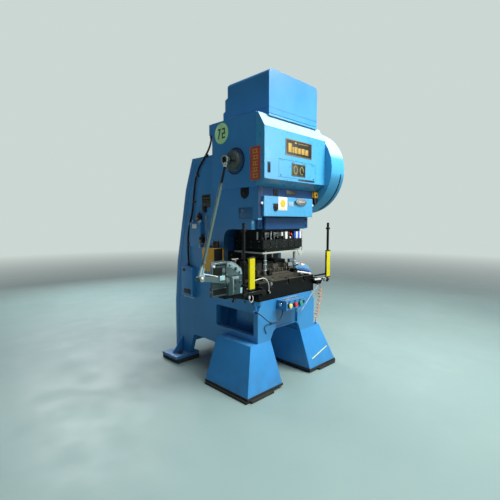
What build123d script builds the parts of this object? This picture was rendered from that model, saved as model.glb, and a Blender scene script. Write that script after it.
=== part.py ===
from build123d import *
import os
from math import atan2, cos, degrees, hypot, pi, radians, sin, tan

os.makedirs("parts", exist_ok=True)

# ---------------------------------------------------------------------------
# Gap-frame power press with a roll feeder.  Millimetres, +Z up, -Y is the
# operator's side, +X is the flywheel side.  The origin is on the floor, in the
# centre of the four anchor bolts, on the press centreline.
# ---------------------------------------------------------------------------

# frame
HALF_W = 420.0          # outer face of each side plate
PLATE_T = 50.0          # side plate thickness
CROWN_LEFT = -449.0     # outer face of the left crown cheek
CROWN_RIGHT = 432.0     # outer face of the right crown cheek
Y_FRONT = -600.0        # front of the columns and of the jaw
Y_COVER = -700.0        # front of the crown cover
Y_THROAT = -150.0       # back of the throat
Y_CROWN_BACK = -20.0
Z_FOOT = 420.0          # top of the splayed front feet
Z_BED = 795.0           # top of the bed
Z_BOLSTER = 960.0       # working face of the bolster
Z_JAW = 1430.0          # underside of the jaw and of the ram
Z_STEP = 1800.0         # underside of the crown cheeks
Z_CROWN = 2420.0
Z_TOP = 2790.0
PAD_T = 40.0
BASE_T = 25.0
ANCHOR = 500.0          # half of the anchor bolt square
ANCHOR_R = 14.0

# drive
CRANK_Y = -350.0
CRANK_Z = 2036.0
COVER_Z = 2022.0         # centre of the round cover, a little below the shaft
STROKE = 60.0
ECC = STROKE / 2
ECC_R = 95.0
SHAFT_R = 60.0
FLY_SHAFT_R = 50.0
RUN_FIT = 0.05
FLY_R = 388.0
FLY_X0, FLY_X1 = 490.0, 630.0
COVER_R = 428.0
COVER_X0, COVER_X1 = CROWN_RIGHT, 684.0
SHEET = 4.0
PULLEY_R = 70.0
PULLEY_Y, PULLEY_Z = 160.0, 2275.0
BELT_T = 9.0
BELT_GAP = 0.5

# ram and die
RAM_HALF = 298.0
GIB_GAP = 0.3
ROD_PIVOT_Z = 1640.0
DIE_X0, DIE_X1 = -300.0, 276.0
DIE_Y0, DIE_Y1 = -546.0, -164.0
DIE_CX = (DIE_X0 + DIE_X1) / 2
DIE_CY = (DIE_Y0 + DIE_Y1) / 2
Z_SHOE = 1222.0
Z_STRIP = 1208.0
Z_RISER = 1335.0
POST_DX, POST_DY = 214.0, 150.0
POST_R = 12.0

# roll feeder
FEED_X = -720.0
FEED_Y0, FEED_Y1 = -500.0, -395.0
ROLL_R = 40.0
ROLL_LOW_Z = 1016.0
ROLL_GAP = 0.6
ROLL_UP_Z = ROLL_LOW_Z + 2 * ROLL_R + ROLL_GAP
ARM_END = (-1010.0, 1062.0)
ROD_TOP = (-531.0, -319.0, 2041.0)

# small controls
BTN_Z = 738.0
BOX_FRONT = -715.0
BOX_LEFT = -168.0


def box_at(x0, x1, y0, y1, z0, z1, mode=Mode.ADD):
    """A block between two opposite corners."""
    with Locations(((x0 + x1) / 2, (y0 + y1) / 2, (z0 + z1) / 2)):
        return Box(x1 - x0, y1 - y0, z1 - z0, mode=mode)


def finish(builder, label):
    """Label a finished piece and write it out."""
    builder.part.label = label
    export_step(builder.part, f"parts/{label}.step")


# ---------------------------------------------------------------------------
# Side plates: one flame-cut C on each side
# ---------------------------------------------------------------------------
# the jaw's lower front corner is stepped back, deeper on the right
JAW_STEP = {"left": [(-519, Z_JAW), (-519, 1515), (Y_FRONT, 1515)],
            "right": [(-500, Z_JAW), (-500, Z_STEP), (Y_FRONT, Z_STEP)]}

for side, x0 in (("left", -HALF_W), ("right", HALF_W - PLATE_T)):
    C_OUTLINE = [
        (-572, Z_FOOT), (-572, 755), (Y_THROAT, 755), (Y_THROAT, Z_JAW), *JAW_STEP[side],
        (Y_FRONT, Z_CROWN), (Y_CROWN_BACK, Z_CROWN), (Y_CROWN_BACK, 2130), (328, 2130),
        (448, 1828), (618, 1078), (668, 620), (668, 70), (430, 70), (350, 300), (-128, 300), (-148, Z_FOOT),
    ]
    with BuildPart() as side_plate:
        with BuildSketch(Plane.YZ.offset(x0)):
            with BuildLine():
                Polyline(*C_OUTLINE, close=True)
            make_face()
        extrude(amount=PLATE_T)
        # large radius where the throat meets the jaw, smaller one at the bed
        fillet(side_plate.edges().filter_by(Axis.X).filter_by(
            lambda e: abs(e.center().Y - Y_THROAT) < 1 and abs(e.center().Z - Z_JAW) < 1), 90)
        fillet(side_plate.edges().filter_by(Axis.X).filter_by(
            lambda e: abs(e.center().Y - 430) < 1 or abs(e.center().Y - 350) < 1), 40)
        # access window in the bed
        with BuildSketch(Plane.YZ.offset(x0)):
            with Locations((-289, 586)):
                RectangleRounded(518, 204, 22)
        extrude(amount=PLATE_T, mode=Mode.SUBTRACT)
        # seat of the main bearing
        with BuildSketch(Plane.YZ.offset(x0)):
            with Locations((CRANK_Y, CRANK_Z)):
                Circle(100)
        extrude(amount=PLATE_T, mode=Mode.SUBTRACT)
        # elbow fitting of the panel cable, beside the front edge of the bed
        if side == "left":
            box_at(-438, -HALF_W, -570, -550, 694, 712)
            with Locations((-430, -577, 703)):
                Cylinder(8, 14, rotation=(90, 0, 0))
    finish(side_plate, f"side_plate_{side}")

# Crown cheeks: the thicker sides of the crown, one welded on each side plate
with BuildPart() as crown_cheeks:
    for x0, x1 in ((CROWN_LEFT, -HALF_W), (HALF_W, CROWN_RIGHT)):
        with BuildSketch(Plane.YZ.offset(x0)):
            with BuildLine():
                Polyline((Y_FRONT, Z_STEP), (Y_FRONT, Z_CROWN), (Y_CROWN_BACK, Z_CROWN),
                         (Y_CROWN_BACK, 2130), (Y_CROWN_BACK, Z_STEP + 10), (-30, Z_STEP), close=True)
            make_face()
            with Locations((CRANK_Y, CRANK_Z)):
                Circle(75, mode=Mode.SUBTRACT)
        extrude(amount=x1 - x0)
    # round bearing flange on the feeder side
    with BuildSketch(Plane.YZ.offset(CROWN_LEFT)):
        with Locations((CRANK_Y, CRANK_Z)):
            Circle(116)
            Circle(75, mode=Mode.SUBTRACT)
    extrude(amount=-5)
finish(crown_cheeks, "crown_cheeks")

# Crown back plate: top and back of the crown, bent from one plate, with the
# cable outlet box welded to its upper left corner
with BuildPart() as crown_back_plate:
    with BuildSketch(Plane.YZ.offset(-HALF_W + PLATE_T)):
        with BuildLine():
            Polyline((Y_FRONT + 2, Z_CROWN), (Y_CROWN_BACK, Z_CROWN), (Y_CROWN_BACK, 2142), (Y_CROWN_BACK - 20, 2142),
                     (Y_CROWN_BACK - 20, Z_CROWN - 20), (Y_FRONT + 2, Z_CROWN - 20), close=True)
        make_face()
    extrude(amount=2 * (HALF_W - PLATE_T))
    box_at(-447, -340, Y_CROWN_BACK, 25, 2318, 2419)
finish(crown_back_plate, "crown_back_plate")

# Rear cover: bent sheet that closes the column from the crown to the rear feet,
# with a narrow flange folded over each side plate
REAR = [(328, 2130), (448, 1828), (618, 1078), (668, 620), (668, 100)]
with BuildPart() as rear_cover:
    with BuildSketch(Plane.YZ.offset(-HALF_W - 3)):
        with BuildLine():
            Polyline((Y_CROWN_BACK + 1, 2130), *REAR, (680, 100), (680, 621), (630, 1080), (459, 1832), (336, 2142),
                     (Y_CROWN_BACK + 1, 2142), close=True)
        make_face()
    extrude(amount=2 * (HALF_W + 3))
    for x0 in (-HALF_W - 3, HALF_W):
        with BuildSketch(Plane.YZ.offset(x0)):
            with BuildLine():
                Polyline((Y_CROWN_BACK + 1, 2130), *REAR, (622, 100), (622, 617), (573, 1071), (405, 1812), (298, 2084),
                         (Y_CROWN_BACK + 1, 2084), close=True)
            make_face()
        extrude(amount=3)
finish(rear_cover, "rear_cover")

# Throat plate: closes the column towards the die space
with BuildPart() as throat_plate:
    box_at(-368, 368, Y_THROAT + 2, Y_THROAT + 26, 797, 1790)
    # cross rib that ties the side plates at half height
    box_at(-368, 368, Y_THROAT + 26, 200, 1290, 1315)
finish(throat_plate, "throat_plate")

# Jaw front plate: spans the jaw above the ram's front face
with BuildPart() as jaw_front_plate:
    box_at(-368, 368, -598, -576, 1552, 1799)
    # return at the stepped-back right side
    box_at(350, 368, -576, -542, 1552, 1799)
finish(jaw_front_plate, "jaw_front_plate")

# inner top edge of each front leg, beside the arch
LEG_IN = {"left": 250.0, "right": 190.0}

# Bed: top plate, front plate with the arch, inner cheeks behind the arch
with BuildPart() as bed:
    box_at(-HALF_W, HALF_W, -598, Y_THROAT, 755, Z_BED)
    with BuildSketch(Plane.XZ.offset(572)):
        with BuildLine():
            Polyline((-HALF_W, Z_FOOT), (-HALF_W, 700), (-HALF_W + 62, Z_BED), (HALF_W - 62, Z_BED), (HALF_W, 700),
                     (HALF_W, Z_FOOT), (LEG_IN["right"], Z_FOOT), (165, 480), (135, 515), (-178, 515), (-214, 492),
                     (-LEG_IN["left"], Z_FOOT), close=True)
        make_face()
    extrude(amount=28)
    for x0 in (-LEG_IN["left"] - 18, LEG_IN["right"] + 4):
        box_at(x0, x0 + 16, -572, -165, 422, 755)
    box_at(-LEG_IN["left"] - 18, LEG_IN["right"] + 20, -181, -165, 422, 755)
    # the middle of the front plate is set back behind the operator's box
    box_at(-175, 142, -601, -580, 517, 755, mode=Mode.SUBTRACT)
    # corner cut of the top plate above the bevelled front plate
    with BuildSketch(Plane.XY.offset(755)):
        for s in (-1, 1):
            with BuildLine():
                Polyline((s * HALF_W, -601), (s * (HALF_W - 40), -601), (s * HALF_W, -560), close=True)
            make_face()
    extrude(amount=60, mode=Mode.SUBTRACT)
finish(bed, "bed")

# Front feet: hollow splayed shoes with a thick base plate, open to the rear
for side, s in (("left", -1), ("right", 1)):
    with BuildPart() as front_foot:
        with BuildSketch(Plane.XY.offset(PAD_T)):
            with BuildLine():
                Polyline((s * 213, -710), (s * 653, -710), (s * 653, -150), (s * 213, -150), close=True)
            make_face()
        with BuildSketch(Plane.XY.offset(Z_FOOT)):
            with BuildLine():
                Polyline((s * LEG_IN[side], -600), (s * 510, -600), (s * 510, -150), (s * LEG_IN[side], -150), close=True)
            make_face()
        loft()
        with BuildSketch(Plane.XY.offset(PAD_T + BASE_T)):
            with BuildLine():
                Polyline((s * 227, -690), (s * 632, -690), (s * 632, -100), (s * 227, -100), close=True)
            make_face()
        with BuildSketch(Plane.XY.offset(Z_FOOT - 20)):
            with BuildLine():
                Polyline((s * (LEG_IN[side] + 14), -592), (s * 503, -592), (s * 503, -100),
                         (s * (LEG_IN[side] + 14), -100), close=True)
            make_face()
        loft(mode=Mode.SUBTRACT)
        with Locations((s * ANCHOR, -ANCHOR, PAD_T + BASE_T / 2)):
            Cylinder(ANCHOR_R, BASE_T + 2, mode=Mode.SUBTRACT)
        # fitting on the right foot's ledge for the coiled hose
        if s == 1:
            with Locations((480, -585, 432)):
                Cylinder(13, 28)
    finish(front_foot, f"front_foot_{side}")

# Rear feet: flanged plates welded under the rear of each side plate
with BuildPart() as rear_feet:
    for s in (-1, 1):
        x0, x1 = sorted((s * 300, s * 600))
        box_at(x0, x1, 420, 690, PAD_T, 70)
        # gusset on the outside
        with BuildSketch(Plane.XZ.offset(-560)):
            with BuildLine():
                Polyline((s * 424, 70), (s * 560, 70), (s * 424, 240), close=True)
            make_face()
        extrude(amount=14)
        with Locations((s * ANCHOR, ANCHOR, 55)):
            Cylinder(ANCHOR_R, 32, mode=Mode.SUBTRACT)
finish(rear_feet, "rear_feet")

# Levelling pads: stepped rubber and steel plates under the four feet
with BuildPart() as foot_pads:
    for s in (-1, 1):
        with BuildSketch(Plane.XY):
            with BuildLine():
                Polyline((s * 232, -690), (s * 350, -690), (s * 350, -735), (s * 630, -735), (s * 630, -712),
                         (s * 672, -712), (s * 672, -162), (s * 232, -162), close=True)
            make_face()
        extrude(amount=20)
        x0, x1 = sorted((s * 207, s * 658))
        box_at(x0, x1, -716, -146, 20, PAD_T)
        x0, x1 = sorted((s * 310, s * 590))
        box_at(x0, x1, 405, 700, 0, PAD_T)
    for s in (-1, 1):
        for t in (-1, 1):
            with Locations((s * ANCHOR, t * ANCHOR, PAD_T / 2)):
                Cylinder(ANCHOR_R, PAD_T + 2, mode=Mode.SUBTRACT)
finish(foot_pads, "foot_pads")

# ---------------------------------------------------------------------------
# Covers of the crown
# ---------------------------------------------------------------------------
DOOR_X0, DOOR_X1, DOOR_Z0, DOOR_Z1 = -267.0, 267.0, 1888.0, 2040.0
with BuildPart() as crown_front_cover:
    with BuildSketch(Plane.YZ.offset(CROWN_LEFT)):
        with BuildLine():
            Polyline((Y_FRONT, Z_STEP), (Y_COVER, 1860), (Y_COVER, 2290), (-624, 2413), (Y_FRONT, 2413), close=True)
        make_face()
    extrude(amount=CROWN_RIGHT - CROWN_LEFT)
    with BuildSketch(Plane.YZ.offset(CROWN_LEFT + 6)):
        with BuildLine():
            Polyline((Y_FRONT + 1, Z_STEP + 6), (Y_COVER + 6, 1864), (Y_COVER + 6, 2288), (-627, 2407), (Y_FRONT + 1, 2407),
                     close=True)
        make_face()
    extrude(amount=CROWN_RIGHT - CROWN_LEFT - 12, mode=Mode.SUBTRACT)
    # opening behind the inspection flap
    box_at(DOOR_X0 - 2, DOOR_X1 + 2, Y_COVER - 1, Y_COVER + 12, DOOR_Z0 - 2, DOOR_Z1 + 2, mode=Mode.SUBTRACT)
finish(crown_front_cover, "crown_front_cover")

# Inspection flap, hung along its upper edge
with BuildPart() as inspection_flap:
    box_at(DOOR_X0, DOOR_X1, Y_COVER, Y_COVER + 4, DOOR_Z0, DOOR_Z1)
    box_at(DOOR_X0 + 12, DOOR_X1 - 12, Y_COVER + 4, Y_COVER + 14, DOOR_Z0 + 8, DOOR_Z0 + 14)
finish(inspection_flap, "inspection_flap")

# Top cover: sheet hood over the counterbalance, rounded along both sides and
# stepped down at the back
def hood_block(d):
    """The outside of the hood, shrunk by d on every side but the open one."""
    with BuildPart() as block:
        with BuildSketch(Plane.YZ.offset(-341 + d)):
            with BuildLine():
                Polyline((-650 + d, Z_CROWN - d / 4), (-650 + d, Z_TOP - d), (-150 - d / 2, Z_TOP - d), (-124 - d, Z_TOP - 25 - d / 2),
                         (-124 - d, 2660 - 0.7 * d), (-88 - d, 2645 - 0.7 * d), (-88 - d, 2545 - 0.7 * d),
                         (-60 - d, 2530 - 0.7 * d), (-60 - d, Z_CROWN - d / 4), close=True)
            make_face()
        extrude(amount=693 - 2 * d)
        fillet(block.edges().filter_by(Axis.Y).filter_by(
            lambda e: e.center().Z > Z_TOP - d - 1 and e.center().X > 300), 42 - d)
        fillet(block.edges().filter_by(Axis.Y).filter_by(
            lambda e: e.center().Z > Z_TOP - d - 1 and e.center().X < -300), 40 - d)
    return block.part


with BuildPart() as top_cover:
    add(hood_block(0))
    add(hood_block(SHEET), mode=Mode.SUBTRACT)
finish(top_cover, "top_cover")

# Counterbalance cylinder, standing on the crown inside the top cover
with BuildPart() as balance_cylinder:
    with Locations((0, CRANK_Y, Z_CROWN + 10)):
        Cylinder(120, 20)
    with Locations((0, CRANK_Y, Z_CROWN + 20 + 130)):
        Cylinder(95, 260)
    with Locations((0, CRANK_Y, Z_CROWN + 280 + 8)):
        Cylinder(105, 16)
    fillet(balance_cylinder.edges().group_by(Axis.Z)[-1], 5)
finish(balance_cylinder, "balance_cylinder")

# Flywheel cover: round drum with a belt guard running back to the motor
with BuildPart() as flywheel_cover:
    with BuildSketch(Plane.YZ.offset(COVER_X0)):
        with Locations((CRANK_Y, COVER_Z)):
            Circle(COVER_R)
    extrude(amount=COVER_X1 - COVER_X0)
    fillet(flywheel_cover.edges().filter_by(GeomType.CIRCLE).sort_by(Axis.X)[-1], 26)
    with BuildSketch(Plane.YZ.offset(462)):
        with Locations((CRANK_Y, COVER_Z)):
            Circle(COVER_R - 12)
        with Locations((PULLEY_Y, PULLEY_Z)):
            Circle(120)
        make_hull()
    extrude(amount=190)
    # hollow
    with BuildSketch(Plane.YZ.offset(COVER_X0 + SHEET)):
        with Locations((CRANK_Y, COVER_Z)):
            Circle(COVER_R - SHEET)
    extrude(amount=COVER_X1 - COVER_X0 - 2 * SHEET - 22, mode=Mode.SUBTRACT)
    with BuildSketch(Plane.YZ.offset(COVER_X1 - SHEET - 23)):
        with Locations((CRANK_Y, COVER_Z)):
            Circle(COVER_R - 28)
    extrude(amount=23, mode=Mode.SUBTRACT)
    with BuildSketch(Plane.YZ.offset(462 + SHEET)):
        with Locations((CRANK_Y, COVER_Z)):
            Circle(COVER_R - 12 - SHEET)
        with Locations((PULLEY_Y, PULLEY_Z)):
            Circle(120 - SHEET)
        make_hull()
    extrude(amount=190 - 2 * SHEET, mode=Mode.SUBTRACT)
    # holes for the crankshaft and for the motor shaft
    with BuildSketch(Plane.YZ.offset(COVER_X0 - 1)):
        with Locations((CRANK_Y, CRANK_Z)):
            Circle(75)
        with Locations((PULLEY_Y, PULLEY_Z)):
            Circle(40)
    extrude(amount=45, mode=Mode.SUBTRACT)
    # slit in the rim, low on the operator's side
    with BuildSketch(Plane.YZ.offset(600)):
        with BuildLine():
            Polyline((CRANK_Y, COVER_Z), (CRANK_Y - 470 * cos(radians(6)), COVER_Z - 470 * sin(radians(6))),
                     (CRANK_Y - 470 * cos(radians(30)), COVER_Z - 470 * sin(radians(30))),
                     (CRANK_Y - 470 * cos(radians(58)), COVER_Z - 470 * sin(radians(58))), close=True)
        make_face()
        with Locations((CRANK_Y, COVER_Z)):
            Circle(COVER_R - 20, mode=Mode.SUBTRACT)
    extrude(amount=9, mode=Mode.SUBTRACT)
finish(flywheel_cover, "flywheel_cover")

# ---------------------------------------------------------------------------
# Drive
# ---------------------------------------------------------------------------
with BuildPart() as main_bearings:
    for x0 in (-HALF_W, HALF_W - PLATE_T):
        with BuildSketch(Plane.YZ.offset(x0)):
            with Locations((CRANK_Y, CRANK_Z)):
                Circle(100)
                Circle(SHAFT_R + RUN_FIT, mode=Mode.SUBTRACT)
        extrude(amount=PLATE_T)
finish(main_bearings, "main_bearings")

with BuildPart() as crankshaft:
    with BuildSketch(Plane.YZ.offset(-455)):
        with Locations((CRANK_Y, CRANK_Z)):
            Circle(SHAFT_R)
    extrude(amount=455 + 445)
    with BuildSketch(Plane.YZ.offset(445)):
        with Locations((CRANK_Y, CRANK_Z)):
            Circle(FLY_SHAFT_R)
    extrude(amount=222)
    # crank webs and the eccentric
    for x0 in (-105, 75):
        with BuildSketch(Plane.YZ.offset(x0)):
            with Locations((CRANK_Y, CRANK_Z + 8)):
                Circle(112)
        extrude(amount=30)
    with BuildSketch(Plane.YZ.offset(-75)):
        with Locations((CRANK_Y, CRANK_Z + ECC)):
            Circle(ECC_R)
    extrude(amount=150)
    # thrust collars inside the main bearings
    for x0 in (-368, 350):
        with BuildSketch(Plane.YZ.offset(x0)):
            with Locations((CRANK_Y, CRANK_Z)):
                Circle(82)
        extrude(amount=18)
finish(crankshaft, "crankshaft")

# Crank end disc: slotted face that carries the feeder's drive stud
with BuildPart() as crank_disc:
    with BuildSketch(Plane.YZ.offset(-505)):
        with Locations((CRANK_Y, CRANK_Z)):
            Circle(78)
    extrude(amount=50)
    fillet(crank_disc.edges().filter_by(GeomType.CIRCLE).sort_by(Axis.X)[0], 4)
    # T-slot across the face
    with BuildSketch(Plane.YZ.offset(-506)):
        with Locations((CRANK_Y, CRANK_Z)):
            Rectangle(128, 16, rotation=9)
    extrude(amount=14, mode=Mode.SUBTRACT)
    with BuildSketch(Plane.YZ.offset(-493)):
        with Locations((CRANK_Y, CRANK_Z)):
            Rectangle(128, 28, rotation=9)
    extrude(amount=10, mode=Mode.SUBTRACT)
    with BuildSketch(Plane.YZ.offset(-506)):
        with Locations((CRANK_Y, CRANK_Z)):
            with PolarLocations(60, 6, start_angle=39):
                Circle(5)
    extrude(amount=12, mode=Mode.SUBTRACT)
finish(crank_disc, "crank_disc")

with BuildPart() as flywheel:
    with BuildSketch(Plane.XZ.offset(-CRANK_Y)):
        # half section beside the shaft, turned about the crank axis
        with BuildLine():
            Polyline((FLY_X0, CRANK_Z + FLY_SHAFT_R + RUN_FIT), (FLY_X1, CRANK_Z + FLY_SHAFT_R + RUN_FIT),
                     (FLY_X1, CRANK_Z + 115), (590, CRANK_Z + 125), (590, CRANK_Z + 305), (FLY_X1, CRANK_Z + 315),
                     (FLY_X1, CRANK_Z + FLY_R), (602, CRANK_Z + FLY_R), (600, CRANK_Z + FLY_R - 8),
                     (520, CRANK_Z + FLY_R - 8), (518, CRANK_Z + FLY_R), (FLY_X0, CRANK_Z + FLY_R),
                     (FLY_X0, CRANK_Z + 315), (530, CRANK_Z + 305), (530, CRANK_Z + 125), (FLY_X0, CRANK_Z + 115),
                     close=True)
        make_face()
    revolve(axis=Axis((0, CRANK_Y, CRANK_Z), (1, 0, 0)))
    with BuildSketch(Plane.YZ.offset(520)):
        with Locations((CRANK_Y, CRANK_Z)):
            with PolarLocations(215, 6):
                Circle(52)
    extrude(amount=80, mode=Mode.SUBTRACT)
finish(flywheel, "flywheel")

# Clutch and brake hub, keyed to the end of the crankshaft
with BuildPart() as clutch_hub:
    with BuildSketch(Plane.YZ.offset(632)):
        with Locations((CRANK_Y, CRANK_Z)):
            Circle(160)
            Circle(FLY_SHAFT_R, mode=Mode.SUBTRACT)
    extrude(amount=24)
    with BuildSketch(Plane.YZ.offset(656)):
        with Locations((CRANK_Y, CRANK_Z)):
            Circle(88)
            Circle(FLY_SHAFT_R, mode=Mode.SUBTRACT)
    extrude(amount=11)
finish(clutch_hub, "clutch_hub")

# Motor on the column's top plate, with cooling fins and a foot
with BuildPart() as motor:
    with BuildSketch(Plane.YZ.offset(60)):
        with Locations((PULLEY_Y, PULLEY_Z)):
            Circle(98)
            with PolarLocations(104, 28):
                Rectangle(18, 5)
        with Locations((PULLEY_Y, 2163)):
            Rectangle(190, 42)
    extrude(amount=270)
    with BuildSketch(Plane.YZ.offset(20)):
        with Locations((PULLEY_Y, PULLEY_Z)):
            Circle(108)
    extrude(amount=40)
    with BuildSketch(Plane.YZ.offset(330)):
        with Locations((PULLEY_Y, PULLEY_Z)):
            Circle(104)
    extrude(amount=26)
    box_at(130, 250, 100, 220, PULLEY_Z + 90, PULLEY_Z + 150)
    # shaft bore in the drive-end shield
    with BuildSketch(Plane.YZ.offset(300)):
        with Locations((PULLEY_Y, PULLEY_Z)):
            Circle(19 + RUN_FIT)
    extrude(amount=60, mode=Mode.SUBTRACT)
finish(motor, "motor")

with BuildPart() as motor_pulley:
    with BuildSketch(Plane.YZ.offset(302)):
        with Locations((PULLEY_Y, PULLEY_Z)):
            Circle(19)
    extrude(amount=308)
    with BuildSketch(Plane.XZ.offset(-PULLEY_Y)):
        with BuildLine():
            Polyline((510, PULLEY_Z), (510, PULLEY_Z + PULLEY_R + 6), (518, PULLEY_Z + PULLEY_R + 6),
                     (520, PULLEY_Z + PULLEY_R), (600, PULLEY_Z + PULLEY_R), (602, PULLEY_Z + PULLEY_R + 6),
                     (610, PULLEY_Z + PULLEY_R + 6), (610, PULLEY_Z), close=True)
        make_face()
    revolve(axis=Axis((0, PULLEY_Y, PULLEY_Z), (1, 0, 0)))
finish(motor_pulley, "motor_pulley")

# Drive belt: one flat loop round the flywheel's rim and the motor pulley
RIM_R = FLY_R - 8
with BuildPart() as drive_belt:
    with BuildSketch(Plane.YZ.offset(526)):
        with Locations((CRANK_Y, CRANK_Z)):
            Circle(RIM_R + BELT_GAP + BELT_T)
        with Locations((PULLEY_Y, PULLEY_Z)):
            Circle(PULLEY_R + BELT_GAP + BELT_T)
        make_hull()
    extrude(amount=68)
    with BuildSketch(Plane.YZ.offset(525)):
        with Locations((CRANK_Y, CRANK_Z)):
            Circle(RIM_R + BELT_GAP)
        with Locations((PULLEY_Y, PULLEY_Z)):
            Circle(PULLEY_R + BELT_GAP)
        make_hull()
    extrude(amount=70, mode=Mode.SUBTRACT)
finish(drive_belt, "drive_belt")

# Connecting rod: slotted big end with room all round the eccentric, ball small end
SWEEP = ECC_R + ECC + 25
with BuildPart() as connecting_rod:
    with BuildSketch(Plane.YZ.offset(-65)):
        with Locations((CRANK_Y, CRANK_Z), (CRANK_Y, CRANK_Z + STROKE)):
            Circle(SWEEP + 30)
        make_hull()
        with BuildLine():
            Polyline((CRANK_Y - 120, CRANK_Z - 120), (CRANK_Y + 120, CRANK_Z - 120), (CRANK_Y + 42, ROD_PIVOT_Z + 60),
                     (CRANK_Y + 42, ROD_PIVOT_Z), (CRANK_Y - 42, ROD_PIVOT_Z), (CRANK_Y - 42, ROD_PIVOT_Z + 60), close=True)
        make_face()
    extrude(amount=130)
    with BuildSketch(Plane.YZ.offset(-66)):
        with Locations((CRANK_Y, CRANK_Z), (CRANK_Y, CRANK_Z + STROKE)):
            Circle(SWEEP)
        make_hull()
    extrude(amount=132, mode=Mode.SUBTRACT)
    # the shank is turned down below the big end
    box_at(-66, -42, CRANK_Y - 60, CRANK_Y + 60, ROD_PIVOT_Z - 30, ROD_PIVOT_Z + 160, mode=Mode.SUBTRACT)
    box_at(42, 66, CRANK_Y - 60, CRANK_Y + 60, ROD_PIVOT_Z - 30, ROD_PIVOT_Z + 160, mode=Mode.SUBTRACT)
    with Locations((0, CRANK_Y, ROD_PIVOT_Z)):
        Sphere(60)
finish(connecting_rod, "connecting_rod")

# Ram: guided block with a socket for the rod's ball
with BuildPart() as ram:
    box_at(-RAM_HALF, RAM_HALF, -560, -184, Z_JAW, 1780)
    box_at(-RAM_HALF + 8, RAM_HALF - 8, -566, -560, Z_JAW, 1540)
    with Locations((0, CRANK_Y, ROD_PIVOT_Z)):
        Sphere(61, mode=Mode.SUBTRACT)
    with Locations((0, CRANK_Y, 1720)):
        Box(150, 190, 160, mode=Mode.SUBTRACT)
    # lightening pockets on each side of the socket
    for x0 in (-250, 120):
        box_at(x0, x0 + 130, -530, -214, 1520, 1781, mode=Mode.SUBTRACT)
finish(ram, "ram")

with BuildPart() as slide_gibs:
    for s in (-1, 1):
        x0, x1 = sorted((s * (RAM_HALF + GIB_GAP), s * 368))
        box_at(x0, x1, -540, -204, Z_JAW + 8, 1790)
finish(slide_gibs, "slide_gibs")

# Cover in front of the jaw
with BuildPart() as slide_cover:
    box_at(-373, 337, -626, -600, 1546, 1724)
    fillet(slide_cover.edges().filter_by(Axis.Y), 4)
    chamfer(slide_cover.faces().sort_by(Axis.Y)[0].edges(), 3)
finish(slide_cover, "slide_cover")

# ---------------------------------------------------------------------------
# Die set and bolster
# ---------------------------------------------------------------------------
POSTS = [(DIE_CX + sx * POST_DX, DIE_CY + sy * POST_DY) for sx in (-1, 1) for sy in (-1, 1)]
with BuildPart() as upper_die:
    box_at(DIE_X0, DIE_X1, DIE_Y0, DIE_Y1, Z_SHOE + 26, Z_RISER)
    box_at(DIE_X0 + 30, DIE_X1 - 30, DIE_Y0 + 4, DIE_Y1 - 30, Z_SHOE + 10, Z_SHOE + 26)
    for x0, x1 in ((DIE_X0 + 12, DIE_X0 + 70), (DIE_CX - 30, DIE_CX + 30), (DIE_X1 - 70, DIE_X1 - 12)):
        box_at(x0, x1, DIE_Y0 + 30, DIE_Y1 - 30, Z_RISER, Z_JAW - 22)
    # clamp plate against the ram
    box_at(DIE_X0 + 12, DIE_X1 - 12, DIE_Y0 + 20, DIE_Y1 - 20, Z_JAW - 22, Z_JAW)
    with Locations(*[(x, y, 1300) for x, y in POSTS]):
        Cylinder(POST_R + RUN_FIT, 224, mode=Mode.SUBTRACT)
finish(upper_die, "upper_die")

with BuildPart() as stripper_plate:
    box_at(DIE_X0, DIE_X1, DIE_Y0, DIE_Y1, Z_STRIP, Z_SHOE)
    with Locations(*[(x, y, 1215) for x, y in POSTS]):
        Cylinder(POST_R + 1.5, 40, mode=Mode.SUBTRACT)
    chamfer(stripper_plate.edges().filter_by(Axis.Z).group_by(Axis.X)[0], 3)
finish(stripper_plate, "stripper_plate")

with BuildPart() as lower_die:
    box_at(DIE_X0, DIE_X1, DIE_Y0, DIE_Y1, Z_BOLSTER, Z_BOLSTER + 42)
    box_at(-180, 160, -470, -230, Z_BOLSTER + 42, 1098)
    box_at(DIE_X0 + 4, -200, -470, -240, Z_BOLSTER + 42, 1120)
    # ledge for the strip along the front of the blocks
    box_at(DIE_X0, 200, -471, -436, 1050, 1130, mode=Mode.SUBTRACT)
    with Locations(*[(x, y, Z_BOLSTER + 21) for x, y in POSTS]):
        Cylinder(POST_R, 60, mode=Mode.SUBTRACT)
finish(lower_die, "lower_die")

with BuildPart() as guide_posts:
    for x, y in POSTS:
        with Locations((x, y, (Z_BOLSTER + 1346) / 2)):
            Cylinder(POST_R, 1346 - Z_BOLSTER)
finish(guide_posts, "guide_posts")

BOLT_XY = [(x, y) for x in (-372, 372) for y in (-560, -192)]
with BuildPart() as bolster:
    box_at(-405, 405, -600, -152, Z_BED, Z_BOLSTER)
    chamfer(bolster.edges().filter_by(Axis.X).group_by(Axis.Z)[-1], 3)
    # T-slots from front to back
    for x in (-240, 0, 240):
        box_at(x - 9, x + 9, -601, -151, Z_BOLSTER - 34, Z_BOLSTER + 1, mode=Mode.SUBTRACT)
        box_at(x - 16, x + 16, -601, -151, Z_BOLSTER - 52, Z_BOLSTER - 34, mode=Mode.SUBTRACT)
    with Locations(*[(x, y, Z_BOLSTER - 15) for x, y in BOLT_XY]):
        Cylinder(18, 32, mode=Mode.SUBTRACT)
    # elbow for the hose on the front face
    box_at(-300, -282, -621, -600, 858, 880)
finish(bolster, "bolster")

with BuildPart() as bolster_bolts:
    for x, y in BOLT_XY:
        with Locations((x, y, Z_BOLSTER - 31 + 12)):
            Cylinder(15, 24)
            Cylinder(7, 30, mode=Mode.SUBTRACT)
        with Locations((x, y, Z_BOLSTER - 31 + 3)):
            Cylinder(15, 6)
finish(bolster_bolts, "bolster_bolts")

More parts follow.
